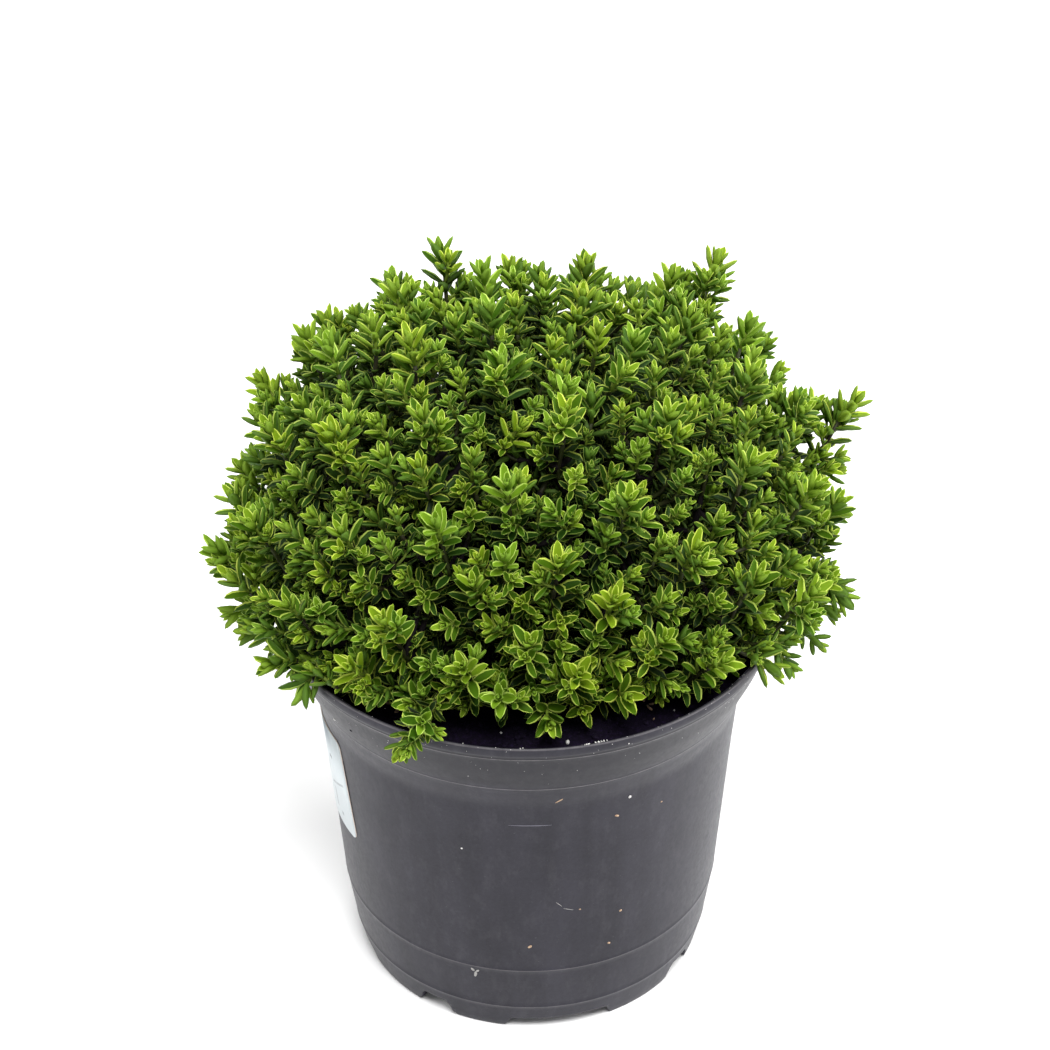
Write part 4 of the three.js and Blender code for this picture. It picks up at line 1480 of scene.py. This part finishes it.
def add_leaves(plant, ring, leaves, stands_for, finishes):
    """The leaves of one ring, joined by their age into pieces of a fair size."""
    ages = np.array(leaves.ages)
    tones = np.array(leaves.tones)
    for index, age in enumerate(AGES):
        _, faces, kinds = leaf_template(LEAF_ROWS[age])
        most = MOST_TRIANGLES // sum(len(face) - 2 for face in faces)
        chosen = np.flatnonzero(ages == index)
        parts = max(1, math.ceil(len(chosen) / most))
        for part, group in enumerate(np.array_split(chosen, parts)):
            name = f"leaves_{ring}_{age}" + (f"_{part + 1}" if parts > 1 else "")
            corners = leaf_corners(leaves, group, LEAF_ROWS[age], plant.leaf_thickness / MM)
            surface = tones[group][:, None] * 3 + kinds[None, :]
            mesh = joined_copies(name, corners, faces, surface)
            add_piece(name, mesh, finishes[age], "foliage", stands_for)


def tube_corners(paths, radii, sides):
    """Corners of round tubes along many paths of one length, with a middle point at each end."""
    tangents = np.gradient(paths, axis=1)
    tangents /= np.linalg.norm(tangents, axis=2, keepdims=True)
    helper = np.where(np.abs(tangents[:, 0, 2:3]) < 0.9, UP, [1.0, 0.0, 0.0])
    side = np.cross(tangents[:, 0], helper)
    angles = np.arange(sides) * math.tau / sides
    rings = []
    for step in range(paths.shape[1]):
        tangent = tangents[:, step]
        side = side - tangent * np.sum(side * tangent, axis=1, keepdims=True)
        side = side / np.linalg.norm(side, axis=1, keepdims=True)
        third = np.cross(tangent, side)
        spokes = side[:, None] * np.cos(angles)[:, None] + third[:, None] * np.sin(angles)[:, None]
        rings.append(paths[:, step, None] + spokes * radii[:, step, None, None])
    return np.concatenate([paths[:, :1], *rings, paths[:, -1:]], axis=1)


class TwigList:
    """The twigs of one kind in one ring of masses, and the piece that they make."""

    def __init__(self, kind):
        self.sides, self.steps, self.radii = TWIG_SHAPES[kind]
        self.paths = []
        self.thicknesses = []

    def add(self, path, radii=None):
        """Takes a twig on a path that has the kind's own number of steps."""
        self.paths.append(path)
        self.thicknesses.append(np.linspace(*(radii or self.radii), self.steps))

    def add_through(self, points, radii=None):
        """Takes a twig that runs smoothly through some points."""
        self.add(smooth_path(list(points), self.steps), radii)

    def add_piece(self, name, finish, stands_for):
        corners = tube_corners(np.array(self.paths), np.array(self.thicknesses), self.sides)
        faces = tube_faces(self.steps, self.sides)
        mesh = joined_copies(name, corners, faces, np.zeros(len(faces)))
        add_piece(name, mesh, [finish], "foliage", stands_for)


class HEBE_OT_foliage(bpy.types.Operator):
    """Grows twigs on from the boughs by the solids' rule, and sets pairs of leaves along them."""

    bl_idname = "hebe.foliage"
    bl_label = "Twigs and leaves"

    def execute(self, context):
        plant = context.scene.hebe.plant
        masses = make_masses()
        tips = grow_main_shoots(masses)
        grow_fine_shoots(masses, tips)
        grow_side_shoots(masses)
        draw = np.random.default_rng(LEAF_SEED)
        leaf_skins = {age: leaf_finishes(plant, age) for age in AGES}
        green = twig_finish("green_twig", plant.green_twig, linear(90, 104, 40))
        olive = twig_finish("old_twig", plant.old_twig, linear(36, 32, 22))
        skins = {"green": green, "side": green, "olive": olive, "brown": bark_finish(plant)}
        for ring in MASS_RINGS:
            members = [mass for mass in masses if mass.ring == ring["name"]]
            nodes = [f"foliage_{mass.suffix}" for mass in members]
            leaves = LeafList()
            twigs = {kind: TwigList(kind) for kind in TWIG_SHAPES}
            for mass in members:
                between = (mass.bough_end + mass.middle) / 2
                points = [mass.bough_end, between, mass.middle]
                twigs["brown"].add_through(points, BOUGH_TO_MIDDLE_RADII)
                for shoot in mass.shoots:
                    dress_shoot(shoot, plant, draw, leaves)
                    self.add_shoot(twigs, shoot)
            add_leaves(plant, ring["name"], leaves, nodes, leaf_skins)
            for kind, kept in twigs.items():
                kept.add_piece(f"twigs_{ring['name']}_{kind}", skins[kind], nodes)
        return {"FINISHED"}

    def add_shoot(self, twigs, shoot):
        """A side shoot is one twig, and a longer one is brown, then olive, then green at its bud."""
        path = shoot.path
        if len(path) == SIDE_STEPS:
            twigs["side"].add(path)
            return
        lengths = path_lengths(path)
        cut = int(np.searchsorted(lengths, lengths[-1] - NEWEST_TWIG))
        twigs["green"].add_through(path[cut:])
        twigs["olive"].add_through(path[OLIVE_START : cut + 1])
        twigs["brown"].add_through(path[:BROWN_STEPS], INNER_BROWN_RADII if shoot.age else None)


def rough_limb(path, radius_at, sides):
    """A limb swept along a path by extruding a ring, its bark raised in ridges and knots."""
    bm = bmesh.new()
    tangents = np.gradient(path, axis=0)
    ring = bmesh.ops.create_circle(bm, cap_ends=False, segments=sides, radius=1)["verts"]
    edges = bm.edges[:]
    bmesh.ops.contextual_create(bm, geom=edges)
    rings = [list(ring)]
    for _ in path[1:]:
        grown = bmesh.ops.extrude_edge_only(bm, edges=edges)["geom"]
        edges = [item for item in grown if isinstance(item, bmesh.types.BMEdge) and item.is_boundary]
        kept = {vert for edge in edges for vert in edge.verts}
        beside = ([edge.other_vert(vert) for edge in vert.link_edges] for vert in rings[-1])
        rings.append([next(other for other in others if other in kept) for others in beside])
    bmesh.ops.contextual_create(bm, geom=edges)
    for step, verts in enumerate(rings):
        tangent = Vector(tangents[step]).normalized()
        turn = Vector((0, 0, 1)).rotation_difference(tangent).to_matrix()
        share = step / (len(path) - 1)
        for j, vert in enumerate(verts):
            angle = j * math.tau / sides
            spoke = turn @ Vector((math.cos(angle), math.sin(angle), 0))
            place = Vector(path[step]) + spoke * radius_at(share)
            spot = Vector((place.x * BARK_ACROSS, place.y * BARK_ACROSS, place.z * BARK_ALONG))
            ridge = noise.fractal(spot, 0.8, 2.2, 4)
            vert.co = place + spoke * ridge * BARK_RELIEF * radius_at(share)
    return bm


class HEBE_OT_limbs(bpy.types.Operator):
    """Makes the stem and the boughs with their bark's relief."""

    bl_idname = "hebe.limbs"
    bl_label = "Stem and boughs"

    def execute(self, context):
        plant = context.scene.hebe.plant
        bark = bark_finish(plant)
        rise = np.linspace(STEM_FOOT, CROWN_CENTRE, STEM_STEPS)
        head = CROWN_CENTRE + np.outer(STEM_HEAD_LEVELS, UP * STEM_RADIUS)
        path = np.concatenate([rise, head])

        def stem_radius(share):
            step = share * (len(rise) + len(head) - 1)
            if step <= STEM_STEPS - 1:
                return STEM_RADIUS + STEM_FLARE * (1 - step / (STEM_STEPS - 1)) ** 3
            level = STEM_HEAD_LEVELS[int(step) - STEM_STEPS]
            return STEM_RADIUS * math.sqrt(1 - level**2)

        def bough_radius(share):
            return BOUGH_START_RADIUS + (BOUGH_END_RADIUS - BOUGH_START_RADIUS) * share

        bm = rough_limb(path, stem_radius, STEM_SIDES)
        add_piece("main_stem", closed_mesh(bm, "main_stem"), [bark], "bark", ["stem"])
        for mass in make_masses():
            start = CROWN_CENTRE + mass.direction * (STEM_RADIUS - 1.0)
            bend = CROWN_CENTRE + mass.direction * BOUGH_REACH / 2
            path = smooth_path([start, bend, mass.bough_end], PATH_STEPS)
            bm = rough_limb(path, bough_radius, BOUGH_SIDES)
            name = f"limb_{mass.suffix}"
            add_piece(name, closed_mesh(bm, name), [bark], "bark", [f"bough_{mass.suffix}"])
        return {"FINISHED"}


class HEBE_OT_stage(bpy.types.Operator):
    """Sets the pale floor, the soft light and the camera."""

    bl_idname = "hebe.stage"
    bl_label = "Stage"

    def execute(self, context):
        settings = context.scene.hebe.stage
        bm = bmesh.new()
        bmesh.ops.create_grid(bm, x_segments=2, y_segments=2, size=6)
        mesh = bpy.data.meshes.new("floor")
        bm.to_mesh(mesh)
        bm.free()
        paint = Finish("pale_floor", roughness=0.9)
        paint.drive(base_color=tuple(settings.floor))
        mesh.materials.append(paint.material)
        floor = bpy.data.objects.new("floor", mesh)
        context.scene.collection.objects.link(floor)
        for name, (place, target, size, share) in LIGHTS.items():
            self.add_light(context, name, place, target, size, settings.key * share)
        world = bpy.data.worlds.new("white_room")
        world.use_nodes = True
        background = world.node_tree.nodes["Background"]
        background.inputs["Color"].default_value = (1, 1, 1, 1)
        background.inputs["Strength"].default_value = settings.sky
        context.scene.world = world
        context.scene.view_settings.view_transform = "Standard"
        camera = bpy.data.cameras.new("photo_camera")
        camera.lens = CAMERA_LENS
        camera.sensor_width = CAMERA_SENSOR
        holder = bpy.data.objects.new("photo_camera", camera)
        turn = Matrix.Rotation(math.radians(CAMERA_YAW), 4, "Z")
        turn = turn @ Matrix.Rotation(math.radians(90 - CAMERA_DIP), 4, "X")
        turn = turn @ Matrix.Rotation(math.radians(CAMERA_ROLL), 4, "Z")
        holder.matrix_world = Matrix.Translation(CAMERA_PLACE) @ turn
        context.scene.collection.objects.link(holder)
        context.scene.camera = holder
        return {"FINISHED"}

    def add_light(self, context, name, place, target, size, power):
        light = bpy.data.lights.new(name, "AREA")
        light.shape = "DISK"
        light.size = size
        light.energy = power
        holder = bpy.data.objects.new(name, light)
        aim = Vector(target) - Vector(place)
        turn = aim.to_track_quat("-Z", "Y").to_matrix().to_4x4()
        holder.matrix_world = Matrix.Translation(place) @ turn
        context.scene.collection.objects.link(holder)


class HEBE_PT_panel(bpy.types.Panel):
    """Lists the sizes and colours, and the steps that build the plant."""

    bl_label = "Potted Hebe"
    bl_idname = "HEBE_PT_panel"
    bl_space_type = "VIEW_3D"
    bl_region_type = "UI"
    bl_category = "Hebe"

    def draw(self, context):
        for group in (context.scene.hebe.pot, context.scene.hebe.plant, context.scene.hebe.stage):
            box = self.layout.box()
            for name in group.__annotations__:
                box.prop(group, name)
        for operator in OPERATORS:
            self.layout.operator(operator.bl_idname)


OPERATORS = (
    HEBE_OT_stage,
    HEBE_OT_pot,
    HEBE_OT_compost,
    HEBE_OT_specks,
    HEBE_OT_label,
    HEBE_OT_limbs,
    HEBE_OT_foliage,
)
CLASSES = (HEBE_PG_pot, HEBE_PG_plant, HEBE_PG_stage, HEBE_PG_settings, *OPERATORS, HEBE_PT_panel)


def register():
    for each in CLASSES:
        bpy.utils.register_class(each)
    bpy.types.Scene.hebe = bpy.props.PointerProperty(type=HEBE_PG_settings)


def unregister():
    del bpy.types.Scene.hebe
    for each in reversed(CLASSES):
        bpy.utils.unregister_class(each)


def main():
    register()
    bpy.ops.hebe.stage()
    bpy.ops.hebe.pot()
    bpy.ops.hebe.compost()
    bpy.ops.hebe.specks()
    bpy.ops.hebe.label()
    bpy.ops.hebe.limbs()
    bpy.ops.hebe.foliage()
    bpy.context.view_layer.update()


if __name__ == "__main__":
    main()
